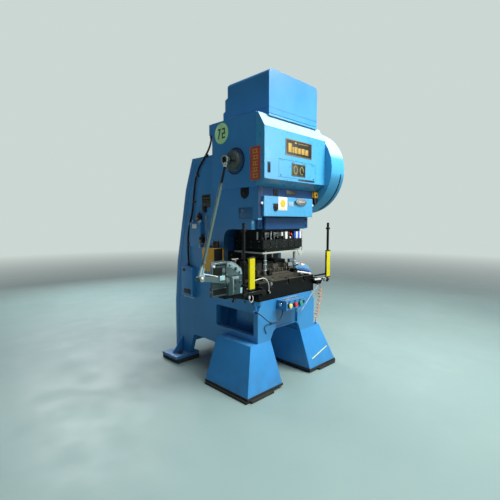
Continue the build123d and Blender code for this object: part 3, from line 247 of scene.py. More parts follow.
BLUE = (0.034, 0.262, 0.590)
BLUE_L = (0.050, 0.345, 0.630)
M = {
    "blue": enamel("blue_enamel", BLUE, rough=0.34, coat=0.22, dust=0.35),
    # painted highlight on faces tilted up, painted shade on faces leaning down
    "blue_l": enamel("blue_enamel_light", BLUE_L, rough=0.28, coat=0.30, wear=0.7, dust=0.25, streaks=0.22, ceiling_highlight=0.75, underside_shade=0.75),
    # painted shade in the bed's recess below the control box
    "bed": enamel("blue_enamel_bed", BLUE, rough=0.34, coat=0.22, dust=0.35, shade_boxes=[(-0.175, 0.142, -0.595, 0.5, 1.0, 0.45)]),
    # painted shade on the throat's front edges and on the jaw front under the crown
    "blue_side": enamel("blue_enamel_side", BLUE, rough=0.34, coat=0.18, dust=0.35, shade_boxes=[(-1, 1, -0.40, 0.90, 1.46, 0.86), (-1, 1, -0.7, 1.545, 1.9, 0.7)]),
    # painted shade: the top cover darkens towards its top
    "blue_t": enamel("blue_enamel_top", (0.040, 0.285, 0.640), rough=0.34, coat=0.2, wear=0.5, dust=0.2, streaks=0.2, top_shade=(2.45, 2.80, 0.55)),
    # painted highlight on the wheel cover's upper faces, painted shade on its lower faces
    "blue_w": enamel("blue_enamel_wheel", BLUE_L, rough=0.50, coat=0.0, spec=0.3, wear=0.5, dust=0.1, streaks=0.2, ceiling_highlight=0.72, ceiling_highlight_top=(-2, -1), underside_shade=0.5),
    # painted shade for the jaw's front edge
    "blue_e": plastic("jaw_edge_painted_shade", (0.006, 0.040, 0.115), rough=0.7, grain=0.05),
    "ochre": plastic("ochre_part", (0.60, 0.25, 0.03), rough=0.45),
    # painted shade: a near-black copy of the blue for the jaw and throat plates, standing in for the shade under the
    # crown
    "blue_s": enamel("blue_enamel_jaw_painted_shade", (0.009, 0.062, 0.185), rough=0.46, coat=0.0, spec=0.2, dust=0.3),
    # painted shade: a near-black copy of the blue for the ram and gib fronts, standing in for the shade under the slide
    # cover
    "blue_j": enamel("blue_enamel_slide_painted_shade", (0.009, 0.064, 0.180), rough=0.48, coat=0.0, spec=0.2, dust=0.3),
    # painted light: a brighter copy of the blue for the feet, standing in for the top light on their sloped fronts
    "blue_f": enamel("blue_enamel_foot_lit", (0.030, 0.292, 0.690), rough=0.34, coat=0.22, dust=0.25),
    "blue_d": enamel("blue_enamel_dark", dim(BLUE, 0.55), rough=0.4, coat=0.2),
    "black": enamel("black_enamel", (0.003, 0.0035, 0.004), rough=0.48, coat=0.0, spec=0.22, chip=(0.16, 0.15, 0.14), dust=0.5, streaks=0.3),
    "ochre": enamel("ochre_enamel", (0.86, 0.42, 0.01), rough=0.40, coat=0.1, dust=0.4, streaks=0.5),
    "yellow": enamel("yellow_enamel", (0.64, 0.57, 0.0), rough=0.40, coat=0.0, spec=0.25, wear=0.3, dust=0.3, streaks=0.15),
    "feeder": enamel("feeder_enamel", (0.026, 0.070, 0.080), rough=0.36, coat=0.2, dust=0.25, streaks=0.8),
    "feeder_l": enamel("feeder_enamel_light", (0.062, 0.118, 0.125), rough=0.30, coat=0.3, dust=0.2, streaks=0.6),
    "motor": enamel("motor_enamel", (0.085, 0.14, 0.18), rough=0.42, coat=0.1, dust=0.7),
    "feeder_t": enamel("fork_enamel", (0.22, 0.36, 0.38), rough=0.4, coat=0.1, streaks=0.8),
    "tube": enamel("link_tube_enamel", (0.062, 0.112, 0.104), rough=0.62, spec=0.2, coat=0.0, wear=0.6, dust=0.1),
    "die": steel("die_steel", (0.007, 0.011, 0.010), rough=0.52, metal=0.0, spec=0.16, dirt=0.5, bright=4.0, soil=(0.004, 0.004, 0.004)),
    "groove": enamel("groove_painted_shadow", (0.006, 0.028, 0.070), rough=0.5, coat=0.0, spec=0.2),
    "flange": enamel("flange_enamel", (0.055, 0.095, 0.190), rough=0.5, coat=0.0, spec=0.3),
    "die_w": steel("die_steel_worn", (0.078, 0.074, 0.056), rough=0.48, metal=0.35, dirt=0.6, bright=1.8, soil=(0.018, 0.017, 0.014)),
    "strip_st": steel("stripper_steel", (0.52, 0.57, 0.52), rough=0.42, metal=0.35, dirt=0.12, bright=1.2),
    "disc_i": steel("crank_disc_iron", (0.120, 0.165, 0.150), rough=0.50, metal=0.35, aniso=(40, 40, 40), dirt=0.6, soil=(0.035, 0.045, 0.042), bright=1.8),
    "collar": enamel("stud_collar_enamel", (0.34, 0.42, 0.39), rough=0.42, coat=0.05, streaks=0.8),
    "bright": steel("ground_steel", (0.52, 0.53, 0.53), rough=0.30, dirt=0.4, soil=(0.13, 0.12, 0.11)),
    "dark": steel("turned_steel", (0.13, 0.135, 0.14), rough=0.36, dirt=0.45, bright=2.2),
    "grey": steel("grey_steel", (0.30, 0.31, 0.30), rough=0.42, dirt=0.4, soil=(0.10, 0.09, 0.08)),
    "iron": steel("machined_iron", (0.15, 0.15, 0.155), rough=0.48, aniso=(90, 90, 90), dirt=0.4),
    "bronze": steel("bearing_bronze", (0.50, 0.33, 0.13), rough=0.34, dirt=0.4),
    "brass": steel("brass", (0.62, 0.40, 0.10), rough=0.36, metal=0.45, dirt=0.35),
    "zinc": steel("zinc_plated", (0.62, 0.62, 0.60), rough=0.30, dirt=0.3, soil=(0.2, 0.19, 0.17)),
    "chrome": steel("chrome", (0.80, 0.81, 0.82), rough=0.10, dirt=0.12, scratch=0.05),
    "gold_d": plastic("gold_print_dim", (0.20, 0.19, 0.045), rough=0.5, grain=0.05),
    "gold": steel("gold_print", (0.50, 0.34, 0.07), rough=0.36, metal=0.55, dirt=0.15, scratch=0.05),
    "rubber": plastic("rubber_black", (0.006, 0.006, 0.007), spec=0.35, rough=0.6, grain=0.4, grain_scale=180),
    "pad": plastic("pad_rubber", (0.022, 0.024, 0.022), rough=0.72, grain=0.8, grain_scale=90, fade=0.4),
    "pvc": plastic("cable_black", (0.014, 0.020, 0.028), rough=0.38, grain=0.05),
    "pvc_grey": plastic("cable_grey", (0.24, 0.36, 0.46), rough=0.4, grain=0.05),
    "white": plastic("hose_white", (0.70, 0.71, 0.66), rough=0.35, grain=0.05),
    "blk_pl": plastic("black_plastic", (0.010, 0.011, 0.012), rough=0.32, grain=0.2),
    "grey_pl": plastic("grey_plastic", (0.16, 0.18, 0.19), rough=0.4),
    "b_yel": plastic("button_yellow", (0.84, 0.72, 0.20), rough=0.25, coat=0.3, grain=0.05),
    "b_red": plastic("button_red", (0.72, 0.02, 0.02), rough=0.25, coat=0.3, grain=0.05),
    "b_grn": plastic("button_green", (0.02, 0.36, 0.22), rough=0.25, coat=0.3, grain=0.05),
    "red": plastic("red_plate", (0.50, 0.065, 0.045), rough=0.45, fade=0.2),
    "label": plastic("white_label", (0.80, 0.80, 0.76), rough=0.45, grain=0.05, fade=0.04),
    "lab_y": plastic("yellow_label", (0.66, 0.47, 0.02), rough=0.45, grain=0.05, fade=0.08),
    "disc": plastic("green_disc", (0.52, 0.95, 0.42), rough=0.5, grain=0.1, fade=0.12),
    "disc_d": plastic("green_disc_mark", (0.035, 0.10, 0.06), rough=0.5, grain=0.1),
    "orange": plastic("hose_orange", (0.80, 0.22, 0.05), rough=0.22, coat=0.3, grain=0.02),
    "blue_pl": plastic("guide_blue", (0.13, 0.32, 0.50), rough=0.35, fade=0.2),
    "blue_dp2": plastic("mid_blue_part", (0.020, 0.115, 0.40), rough=0.4),
    "blue_dp": plastic("deep_blue_block", (0.035, 0.11, 0.55), rough=0.4),
    "glass": plastic("window_dark", (0.02, 0.03, 0.03), rough=0.12, grain=0.0, coat=0.5),
    "olive": plastic("olive_print", (0.105, 0.10, 0.035), rough=0.5, grain=0.05),
    "lab_g": plastic("grey_label", (0.30, 0.44, 0.54), rough=0.45, grain=0.05),
    "cyan": plastic("pale_teal_strip", (0.36, 0.62, 0.66), rough=0.4, grain=0.05),
    "belt": plastic("belt_rubber", (0.02, 0.02, 0.02), rough=0.55, grain=0.3, grain_scale=400),
}

# bolster: scuffed brown-grey working face, black painted sides
t = Mat("bolster_worn", rough=0.4, spec=0.14)
top = t.mix(t.rng(t.noise(7, 6, 0.7), 0.3, 0.7), (0.036, 0.036, 0.026), (0.125, 0.122, 0.088))
top = t.mix(t.rng(t.noise(3, 5, 0.65, (1, 9, 1)), 0.45, 0.75, 0, 0.6), top, (0.175, 0.175, 0.140))
side = t.mix(t.rng(t.noise(6, 5), 0.35, 0.75), (0.002, 0.003, 0.003), (0.005, 0.006, 0.006))
side = t.mix(t.rng(t.noise(18, 6, 0.75), 0.60, 0.74, 0, 0.6), side, (0.025, 0.024, 0.021))
upf = t.rng(t.comp(t.geo.outputs["Normal"], 2), 0.5, 0.9)
mask, nrm = t.edges(0.003)
base = t.mix(upf, side, top)
t.color(t.mix(t.op("MULTIPLY", mask, t.rng(t.noise(40, 4), 0.4, 0.6)), base, (0.20, 0.18, 0.16)))
t.rough(t.rng(t.noise(16, 4), 0.3, 0.8, 0.26, 0.55))
t.metal(t.op("MULTIPLY", upf, 0.55))
t.normal(t.bump(t.noise(30, 6, 0.7), 0.5, 0.0008, nrm))
M["bolster"] = t.m

NODE_MAT = {
    "side_plate_left": "blue_side", "side_plate_right": "blue_side", "crown_cheeks": "blue", "crown_back_plate": "blue",
    "rear_cover": "blue", "throat_plate": "blue_s", "jaw_front_plate": "blue_s", "bed": "bed", "front_foot_left": "blue_f",
    "front_foot_right": "blue_f", "rear_feet": "blue", "foot_pads": "pad", "bolster": "bolster", "bolster_bolts": "dark",
    "lower_die": "die_w", "guide_posts": "bright", "crown_front_cover": "blue_l", "inspection_flap": "blue_l",
    "top_cover": "blue_t", "balance_cylinder": "motor", "flywheel_cover": "blue_w", "main_bearings": "bronze",
    "crankshaft": "bright", "crank_disc": "disc_i", "flywheel": "iron", "clutch_hub": "dark", "motor": "motor",
    "motor_pulley": "iron", "drive_belt": "belt", "connecting_rod": "iron", "ram": "blue_j", "slide_gibs": "blue_d",
    "slide_cover": "blue_l", "upper_die": "die", "stripper_plate": "strip_st", "control_box": "blue",
    "button_yellow": "b_yel", "button_red": "b_red", "button_green": "b_grn", "key_switch": "chrome",
    "curtain_bars": "yellow", "curtain_stand_left": "black", "curtain_stand_right": "black", "lubricator": "ochre",
    "air_unit": "blue", "junction_box": "blue", "feeder_bracket": "black", "feeder_body": "feeder",
    "feeder_hood": "feeder_l", "lower_feed_roll": "bright", "upper_feed_roll": "bright", "feeder_arm": "feeder_l",
    "link_rod": "tube", "pressure_screw": "grey", "side_hose": "rubber", "panel_cable": "pvc", "curtain_cable": "pvc_grey",
    "bolster_hose": "white", "coil_hose": "orange",
}
for name, obj in NODES.items():
    mats = obj.data.materials
    mats.clear()
    mats.append(M[NODE_MAT[name]])


# ---------------------------------------------------------------------------
# mesh helpers, in millimetres
# ---------------------------------------------------------------------------
def frame_of(d):
    """Two unit vectors square to d."""
    d = Vector(d).normalized()
    a = Vector((0, 0, 1)) if abs(d.z) < 0.9 else Vector((1, 0, 0))
    u = a.cross(d).normalized()
    return d, u, d.cross(u).normalized()


class Piece:
    """One Blender object: many bevelled, turned or drawn parts on one body."""

    def __init__(self, name, mat, body="frame", slot=None, angle=35):
        self.name, self.mat, self.body, self.slot, self.angle = name, mat, body, slot, angle
        self.bm = bmesh.new()

    def take(self, tmp):
        me = bpy.data.meshes.new("tmp")
        tmp.to_mesh(me)
        tmp.free()
        self.bm.from_mesh(me)
        bpy.data.meshes.remove(me)
        return self

    def box(self, x0, x1, y0, y1, z0, z1, bev=1.0, turn=None, about=None):
        tmp = bmesh.new()
        bmesh.ops.create_cube(tmp, size=1.0)
        for v in tmp.verts:
            v.co = Vector((x0 + (v.co.x + 0.5) * (x1 - x0), y0 + (v.co.y + 0.5) * (y1 - y0),
                           z0 + (v.co.z + 0.5) * (z1 - z0))) * MM
        bev = min(bev, 0.4 * min(x1 - x0, y1 - y0, z1 - z0))
        if bev > 0:
            bmesh.ops.bevel(tmp, geom=tmp.edges[:], offset=bev * MM, segments=2, profile=0.6, affect="EDGES")
        if turn:
            c = Vector(about or ((x0 + x1) / 2, (y0 + y1) / 2, (z0 + z1) / 2)) * MM
            rot = Matrix.Rotation(math.radians(turn[1]), 4, turn[0])
            bmesh.ops.transform(tmp, matrix=Matrix.Translation(c) @ rot @ Matrix.Translation(-c), verts=tmp.verts)
        return self.take(tmp)

    def prism(self, pts, axis, a, b, bev=0.8):
        """pts is an outline seen along axis: x gives (y, z), y gives (x, z), z gives (x, y)."""
        tmp = bmesh.new()
        put = {"x": lambda p, w: (w, p[0], p[1]), "y": lambda p, w: (p[0], w, p[1]), "z": lambda p, w: (p[0], p[1], w)}[axis]
        v0 = [tmp.verts.new(Vector(put(p, a)) * MM) for p in pts]
        v1 = [tmp.verts.new(Vector(put(p, b)) * MM) for p in pts]
        tmp.faces.new(v0)
        tmp.faces.new(v1[::-1])
        n = len(pts)
        for i in range(n):
            tmp.faces.new((v0[i], v1[i], v1[(i + 1) % n], v0[(i + 1) % n]))
        bmesh.ops.recalc_face_normals(tmp, faces=tmp.faces[:])
        if bev > 0:
            bmesh.ops.bevel(tmp, geom=[e for e in tmp.edges if e.calc_face_angle(0) > 0.5], offset=bev * MM, segments=2,
                            profile=0.6, affect="EDGES")
        return self.take(tmp)

    def lathe(self, p, d, prof, seg=28):
        """prof is (radius, distance along d) from one end to the other; ends are closed."""
        d, u, w = frame_of(d)
        p = Vector(p)
        tmp = bmesh.new()
        rings = []
        for r, s in prof:
            if r <= 1e-6:
                rings.append([tmp.verts.new((p + d * s) * MM)])
            else:
                rings.append([tmp.verts.new((p + d * s + (u * math.cos(k * 2 * math.pi / seg) + w * math.sin(k * 2 * math.pi / seg)) * r) * MM)
                              for k in range(seg)])
        for A, B in zip(rings, rings[1:]):
            for k in range(seg):
                j = (k + 1) % seg
                if len(A) == 1 and len(B) > 1:
                    tmp.faces.new((A[0], B[j], B[k]))
                elif len(B) == 1 and len(A) > 1:
                    tmp.faces.new((A[k], A[j], B[0]))
                elif len(A) > 1:
                    tmp.faces.new((A[k], A[j], B[j], B[k]))
        for R in (rings[0], rings[-1]):
            if len(R) > 1:
                tmp.faces.new(R)
        bmesh.ops.recalc_face_normals(tmp, faces=tmp.faces[:])
        return self.take(tmp)

    def cyl(self, p, d, r, h, bev=0.6, seg=24):
        b = min(bev, r * 0.4, h * 0.4)
        return self.lathe(p, d, [(0, 0), (r - b, 0), (r - b * 0.3, b * 0.3), (r, b), (r, h - b), (r - b * 0.3, h - b * 0.3), (r - b, h), (0, h)], seg)

    def rod(self, a, b, r, bev=0.6, seg=20):
        a, b = Vector(a), Vector(b)
        return self.cyl(a, b - a, r, (b - a).length, bev, seg)

    def hexa(self, p, d, af, h):
        return self.cyl(p, d, af / 1.732, h, bev=af * 0.05, seg=6)

    def bolt(self, p, d, af):
        """Hexagon head on a washer."""
        self.cyl(p, d, af * 0.72, af * 0.10, bev=0.3)
        d0 = Vector(d).normalized()
        return self.hexa(Vector(p) + d0 * af * 0.10, d, af, af * 0.42)

    def cap(self, p, d, r):
        """Socket cap screw head with its recess."""
        h = r * 1.15
        return self.lathe(p, d, [(0, 0), (r, 0), (r, h * 0.85), (r * 0.88, h), (r * 0.55, h), (r * 0.5, h * 0.35), (0, h * 0.35)], 16)

    def pan(self, p, d, r):
        """Domed screw head with a shallow drive recess."""
        return self.lathe(p, d, [(0, 0), (r, 0), (r * 0.95, r * 0.28), (r * 0.6, r * 0.52), (r * 0.28, r * 0.58), (r * 0.2, r * 0.35), (0, r * 0.35)], 16)

    def ring(self, p, d, r_out, r_in, h, seg=32):
        d0, u, w = frame_of(d)
        tmp = bmesh.new()
        prof = [(r_in, 0), (r_out, 0), (r_out, h), (r_in, h)]
        rings = [[tmp.verts.new((Vector(p) + d0 * s + (u * math.cos(k * 2 * math.pi / seg) + w * math.sin(k * 2 * math.pi / seg)) * r) * MM)
                  for k in range(seg)] for r, s in prof]
        for i in range(4):
            A, B = rings[i], rings[(i + 1) % 4]
            for k in range(seg):
                j = (k + 1) % seg
                tmp.faces.new((A[k], A[j], B[j], B[k]))
        bmesh.ops.recalc_face_normals(tmp, faces=tmp.faces[:])
        return self.take(tmp)

    def tube(self, pts, r, seg=12, closed=False):
        """A swept tube through points, smoothed."""
        cu = bpy.data.curves.new("tmp", "CURVE")
        cu.dimensions = "3D"
        sp = cu.splines.new("NURBS")
        sp.points.add(len(pts) - 1)
        for q, pt in zip(sp.points, pts):
            q.co = (*(Vector(pt) * MM), 1)
        sp.order_u = 3
        sp.use_endpoint_u = not closed
        sp.use_cyclic_u = closed
        sp.resolution_u = 6
        cu.bevel_depth = r * MM
        cu.bevel_resolution = max(1, seg // 4 - 1)
        cu.use_fill_caps = not closed
        ob = bpy.data.objects.new("tmp", cu)
        SCENE.collection.objects.link(ob)
        bpy.context.view_layer.update()
        me = bpy.data.meshes.new_from_object(ob.evaluated_get(bpy.context.evaluated_depsgraph_get()))
        self.bm.from_mesh(me)
        bpy.data.objects.remove(ob)
        bpy.data.curves.remove(cu)
        bpy.data.meshes.remove(me)
        return self

    def spring(self, p, d, r, wire, h, turns, seg=10):
        d0, u, w = frame_of(d)
        pts = []
        n = int(turns * 10)
        for i in range(n + 1):
            a = i / 10 * 2 * math.pi
            pts.append(Vector(p) + d0 * (h * i / n) + (u * math.cos(a) + w * math.sin(a)) * r)
        return self.tube(pts, wire, 8)

    def done(self):
        me = bpy.data.meshes.new(self.name)
        bmesh.ops.remove_doubles(self.bm, verts=self.bm.verts[:], dist=1e-6)
        self.bm.to_mesh(me)
        self.bm.free()
        me.polygons.foreach_set("use_smooth", [True] * len(me.polygons))
        me.set_sharp_from_angle(angle=math.radians(self.angle))
        ob = bpy.data.objects.new(self.name, me)
        SCENE.collection.objects.link(ob)
        me.materials.append(M[self.mat])
        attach(ob, self.body)
        return ob


X, Y, Z = (1, 0, 0), (0, 1, 0), (0, 0, 1)
NX, NY, NZ = (-1, 0, 0), (0, -1, 0), (0, 0, -1)


def arc(cx, cy, r, a0, a1, n=12):
    return [(cx + r * math.cos(math.radians(a0 + (a1 - a0) * i / n)), cy + r * math.sin(math.radians(a0 + (a1 - a0) * i / n)))
            for i in range(n + 1)]


# ---------------------------------------------------------------------------
# cords: each spline has the route's own points as its control points
# ---------------------------------------------------------------------------
ROUTES = {
    "panel_cable": (0.0045, [(-430, -584, 703), (-430, -604, 702), (-423, -628, 694), (-403, -644, 674), (-373, -652, 644),
                             (-331, -654, 612), (-279, -654, 590), (-226, -653, 589), (-184, -654, 614), (-158, -655, 645),
                             (-147, -655, 671), (-147, -655, 689)]),
    "curtain_cable": (0.0055, [(440, -632, 868), (440, -632, 850), (424, -634, 829), (388, -639, 813), (340, -645, 793),
                               (292, -651, 765), (240, -659, 731), (186, -666, 695), (142, -669, 664), (104, -669, 641),
                               (74, -667, 633), (52, -663, 643), (45, -660, 666), (45, -660, 689)]),
    "bolster_hose": (0.004, [(-536, -672, 1012), (-510, -672, 1012), (-466, -667, 1018), (-412, -656, 1018),
                             (-362, -645, 1000), (-323, -634, 964), (-301, -622, 926), (-291, -612, 902), (-291, -612, 880)]),
    "coil_hose": (0.0035, [(480, -631, 862), (480, -631, 798), (482, -625, 715), (485, -613, 640), (484, -598, 568),
                          (480, -585, 500), (480, -585, 446)]),
}


def nurbs(name, pts, radius, res=12):
    cu = bpy.data.curves.new(name, "CURVE")
    cu.dimensions = "3D"
    sp = cu.splines.new("NURBS")
    sp.points.add(len(pts) - 1)
    for q, p in zip(sp.points, pts):
        q.co = (*(Vector(p) * MM), 1)
    sp.order_u = 3
    sp.use_endpoint_u = True
    sp.resolution_u = res
    cu.bevel_depth = radius
    cu.bevel_resolution = 4
    cu.use_fill_caps = True
    ob = bpy.data.objects.new(name, cu)
    SCENE.collection.objects.link(ob)
    return ob


def line_points(pts, res=16):
    """Points along the smooth line of a route, in metres."""
    ob = nurbs("line_probe", pts, 0.0, res)
    bpy.context.view_layer.update()
    me = bpy.data.meshes.new_from_object(ob.evaluated_get(bpy.context.evaluated_depsgraph_get()))
    out = [v.co.copy() for v in me.vertices]
    cu = ob.data
    bpy.data.objects.remove(ob)
    bpy.data.curves.remove(cu)
    bpy.data.meshes.remove(me)
    return out


def run(pts):
    return sum((b - a).length for a, b in zip(pts, pts[1:]))


CORD_MAT = {"panel_cable": "pvc", "curtain_cable": "pvc_grey", "bolster_hose": "white"}
for name in ("panel_cable", "curtain_cable", "bolster_hose"):
    radius, pts = ROUTES[name]
    ob = nurbs(name + "_line", pts, radius)
    ob.data.materials.append(M[CORD_MAT[name]])
    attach(ob, "frame")
    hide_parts(name)
    run(line_points(pts))

# coiled hose: a helix round the route's smooth line, tight turns that open a little in the middle
radius, pts = ROUTES["coil_hose"]
centre = line_points(pts, 24)
total = run(centre)
turns, R = 9.0, 0.0185
steps = int(turns * 16)
acc, s = [0.0], 0.0
for a, b in zip(centre, centre[1:]):
    s += (b - a).length
    acc.append(s)


def at(dist):
    dist = max(0.0, min(total, dist))
    for i in range(len(acc) - 1):
        if acc[i + 1] >= dist:
            k = (dist - acc[i]) / max(1e-9, acc[i + 1] - acc[i])
            return centre[i].lerp(centre[i + 1], k), (centre[i + 1] - centre[i]).normalized()
    return centre[-1], (centre[-1] - centre[-2]).normalized()


helix = [centre[0] / MM, at(0.014)[0] / MM]
lead, tail = 0.034, 0.034
for i in range(steps + 1):
    f = i / steps
    p, d = at(lead + (total - lead - tail) * (f + 0.018 * math.sin(f * 2 * math.pi * 2.0)))
    _, u, w = frame_of(d)
    a = f * turns * 2 * math.pi
    grow = min(1.0, f * turns * 1.6, (1 - f) * turns * 1.6)
    rr = R * (0.25 + 0.75 * grow) * (1 + 0.05 * math.sin(5.1 * f + 1))
    helix.append((p + (u * math.cos(a) + w * math.sin(a)) * rr) / MM)
helix += [at(total - 0.012)[0] / MM, centre[-1] / MM]
ob = nurbs("coil_hose_line", helix, radius, 4)
ob.data.materials.append(M["orange"])
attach(ob, "frame")
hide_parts("coil_hose")
run(line_points(helix, 4))

# side hose: ribbed conduit held by clips along the column
side_pts = [(-437, 6, 2318), (-437, 6, 2272), (-437, 42, 2200), (-437, 112, 2128), (-437, 180, 2066), (-437, 240, 1990),
            (-437, 276, 1898), (-437, 297, 1790), (-437, 313, 1680), (-437, 335, 1580), (-437, 366, 1498), (-437, 398, 1420),
            (-437, 412, 1320), (-437, 414, 1210), (-437, 405, 1112), (-437, 405, 1036)]
ob = nurbs("side_hose_line", side_pts, 0.0085, 10)
ob.data.materials.append(M["rubber"])
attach(ob, "frame")
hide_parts("side_hose")
line = line_points(side_pts, 30)
ribs = Piece("side_hose_ribs", "rubber", slot="cable_black")
acc2, nxt = 0.0, 0.004
for a, b in zip(line, line[1:]):
    seg_len = (b - a).length
    while acc2 + seg_len >= nxt:
        p = a.lerp(b, (nxt - acc2) / seg_len) / MM
        d = (b - a).normalized()
        ribs.lathe(p - d * 1.3, d, [(8.2, 0), (9.9, 0.5), (9.9, 2.1), (8.2, 2.6)], 12)
        nxt += 0.0052
    acc2 += seg_len
ribs.done()
clips = Piece("hose_clips", "dark", slot="zinc")
for frac in (0.16, 0.34, 0.52, 0.70, 0.86):
    i = int(frac * (len(line) - 1))
    p, d = line[i] / MM, (line[i + 1] - line[i - 1]).normalized()
    clips.ring(p - d * 8, d, 11.2, 9.9, 16)
    foot = Vector((-421.5, p.y, p.z))
    side = Vector((0, d.z, -d.y)).normalized()
    clips.cyl(Vector((-424, p.y, p.z)) + side * 17, NX, 4, 2)
    clips.box(-424, -420.2, p.y + min(0, side.y * 22) - 7, p.y + max(0, side.y * 22) + 7, p.z - 8 + min(0, side.z * 22), p.z + 8 + max(0, side.z * 22), 1)
clips.done()
gl = Piece("hose_glands", "blk_pl", slot="rubber_black")
gl.cyl((-437, 6, 2304), Z, 15, 13).hexa((-437, 6, 2296), Z, 28, 9)
gl.cyl((-437, 405, 1036), Z, 14, 12).hexa((-437, 405, 1048), Z, 27, 9)
gl.done()


# strain reliefs: tapered pieces where the free cords leave the object
def relief(name, p, d, r0, r1, length, mat="blk_pl"):
    pc = Piece(name, mat, slot="rubber_black")
    prof = [(r0 * 0.9, 0)]
    n = 7
    for i in range(n):
        a, b = i / n, (i + 0.62) / n
        ra, rb = r0 + (r1 - r0) * a, r0 + (r1 - r0) * b
        prof += [(ra, length * a + 0.3), (rb, length * b), (rb * 0.84, length * b + 0.2), (rb * 0.84, length * (i + 1) / n)]
    prof += [(r1 * 0.9, length)]
    pc.lathe(p, d, prof, 20)
    pc.hexa(Vector(p) - Vector(d).normalized() * 1, d, r0 * 2.3, 5)
    pc.done()


relief("relief_panel_start", (-430, -583, 703), (0, -1, -0.04), 8, 5.4, 20)
relief("relief_panel_end", (-147, -655, 690), NZ, 8, 5.4, 20)
relief("relief_curtain_start", (440, -632, 869), NZ, 9, 6.6, 20)
relief("relief_curtain_end", (45, -660, 690), NZ, 9, 6.6, 20)

# ---------------------------------------------------------------------------
# crown: plates, screws, seams
# ---------------------------------------------------------------------------
pl = Piece("nameplate_big", "blk_pl", slot="black_paint")
pl.box(-180, 205, -702.2, -699.6, 2084, 2226, 0.6)
pl.done()
g = Piece("nameplate_big_gold", "gold", slot="bronze")
for x0, x1, z0, z1 in ((-177, 202, 2220, 2223), (-177, 202, 2087, 2090), (-177, -174, 2087, 2223), (199, 202, 2087, 2223)):
    g.box(x0, x1, -702.9, -701.9, z0, z1, 0.2)
g.prism([(-52, 2195), (-24, 2195), (-24, 2207), (-52, 2207)], "y", -703, -701.9, 0.2)
g.box(-6, 150, -702.8, -701.9, 2199, 2203, 0.2)
xs = -142
for w, h in ((46, 78), (22, 50), (44, 54), (40, 50), (48, 54), (46, 50)):
    g.box(xs, xs + w, -703, -701.9, 2112, 2112 + h, 0.3)
    xs += w + 9
g.done()
pl = Piece("nameplate_small", "blk_pl", body="flap", slot="black_paint")
pl.box(-92, 109, -702.2, -699.6, 1908, 2020, 0.6)
pl.done()
g = Piece("nameplate_small_gold", "gold_d", body="flap", slot="bronze")
for x0, x1, z0, z1 in ((-88, 105, 2013, 2016), (-88, 105, 1912, 1915), (-88, -85, 1912, 2016), (102, 105, 1912, 2016)):
    g.box(x0, x1, -702.9, -701.9, z0, z1, 0.2)
for cx in (-38, 52):
    outer = [(cx + 31 * math.cos(a), 1964 + 40 * math.sin(a)) for a in [k * math.pi / 14 for k in range(28)]]
    inner = [(cx + 18 * math.cos(a), 1964 + 27 * math.sin(a)) for a in [k * math.pi / 14 for k in range(28)]]
    for k in range(28):
        j = (k + 1) % 28
        g.prism([outer[k], outer[j], inner[j], inner[k]], "y", -703, -701.9, 0)
g.done()

fr = Piece("sight_frame", "blue_d", slot="blue_paint")
for x0, x1, z0, z1 in ((-413, -407, 1908, 2000), (-380, -374, 1908, 2000), (-407, -380, 1908, 1914), (-407, -380, 1994, 2000)):
    fr.box(x0, x1, -702.2, -699.8, z0, z1, 0.6)
fr.done()
b = Piece("sight_slot", "die", slot="black_paint")
b.box(-407, -380, -701.2, -699.8, 1914, 1994, 0.4)
b.done()
b = Piece("flap_shadow_lip", "blk_pl", slot="black_paint")
b.box(7, 252, -703.4, -699.9, 1873, 1885, 0.8)
b.done()
h = Piece("flap_hinge", "blue_l", body="flap", slot="blue_paint_light")
for x0 in (-250, -90, 70, 210):
    h.rod((x0, -702, 2042), (x0 + 40, -702, 2042), 1.9)
    h.box(x0, x0 + 40, -701.4, -699.8, 2027, 2041.6, 0.3)
h.done()
h = Piece("flap_fasteners", "blue_l", body="flap", slot="blue_paint_light")
for x in (-240, 240):
    h.cyl((x, -699.8, 1906), NY, 8, 2.2).pan((x, -702, 1906), NY, 5.5)
h.done()

sc = Piece("crown_screws", "blue_l", slot="blue_paint_light")
for x in (-430, -150, 150, 415):
    for z in (1872, 2278):
        sc.pan((x, -700, z), NY, 5)
for a in range(0, 360, 40):
    sc.pan((684, -350 + 360 * math.cos(math.radians(a)), 2022 + 360 * math.sin(math.radians(a))), X, 7)
sc.done()
seam = Piece("cover_seams", "blue_d", slot="blue_paint")
seam.box(-341.8, -340.6, -650, -124, 2469, 2472, 0.2)
seam.box(-341.5, 352.5, -651, -649.8, 2469, 2472, 0.3)
seam.box(351.6, 352.8, -650, -124, 2469, 2472, 0.2)
seam.box(-450, -448.8, -600.8, -599.2, 1802, 2412, 0.2)
seam.done()
rim = Piece("cover_skirt", "blue_l", slot="blue_paint_light")
rim.box(-341, 352, -650, -638, 2397, 2416, 0.8)
rim.box(-341, 352, -640, -618, 2409, 2416, 0.8)
rim.done()

# number disc, red plate, small plates on the left side
d = Piece("number_disc", "disc", slot="zinc")
d.cyl((-449, -158, 2310), NX, 94, 2, 0.5, 64)
d.done()
d = Piece("number_disc_mark", "disc_d", slot="black_paint")
for pts in ([(-158 + 50, 2355), (-158 + 6, 2355), (-158 + 34, 2263), (-158 + 50, 2263), (-158 + 28, 2341), (-158 + 50, 2341)],
            [(-158 - 8, 2355), (-158 - 52, 2355), (-158 - 52, 2301), (-158 - 22, 2301), (-158 - 22, 2277), (-158 - 52, 2277),
             (-158 - 52, 2263), (-158 - 8, 2263), (-158 - 8, 2315), (-158 - 38, 2315), (-158 - 38, 2341), (-158 - 8, 2341)]):
    d.prism(pts, "x", -451.6, -450.9, 0)
d.done()
rp = Piece("side_plate_red", "red", slot="hose_orange")
rp.box(-451.2, -448.8, -655, -532, 1851, 2132, 0.8)
rp.done()
rp = Piece("side_plate_red_blocks", "lab_y", slot="yellow_paint")
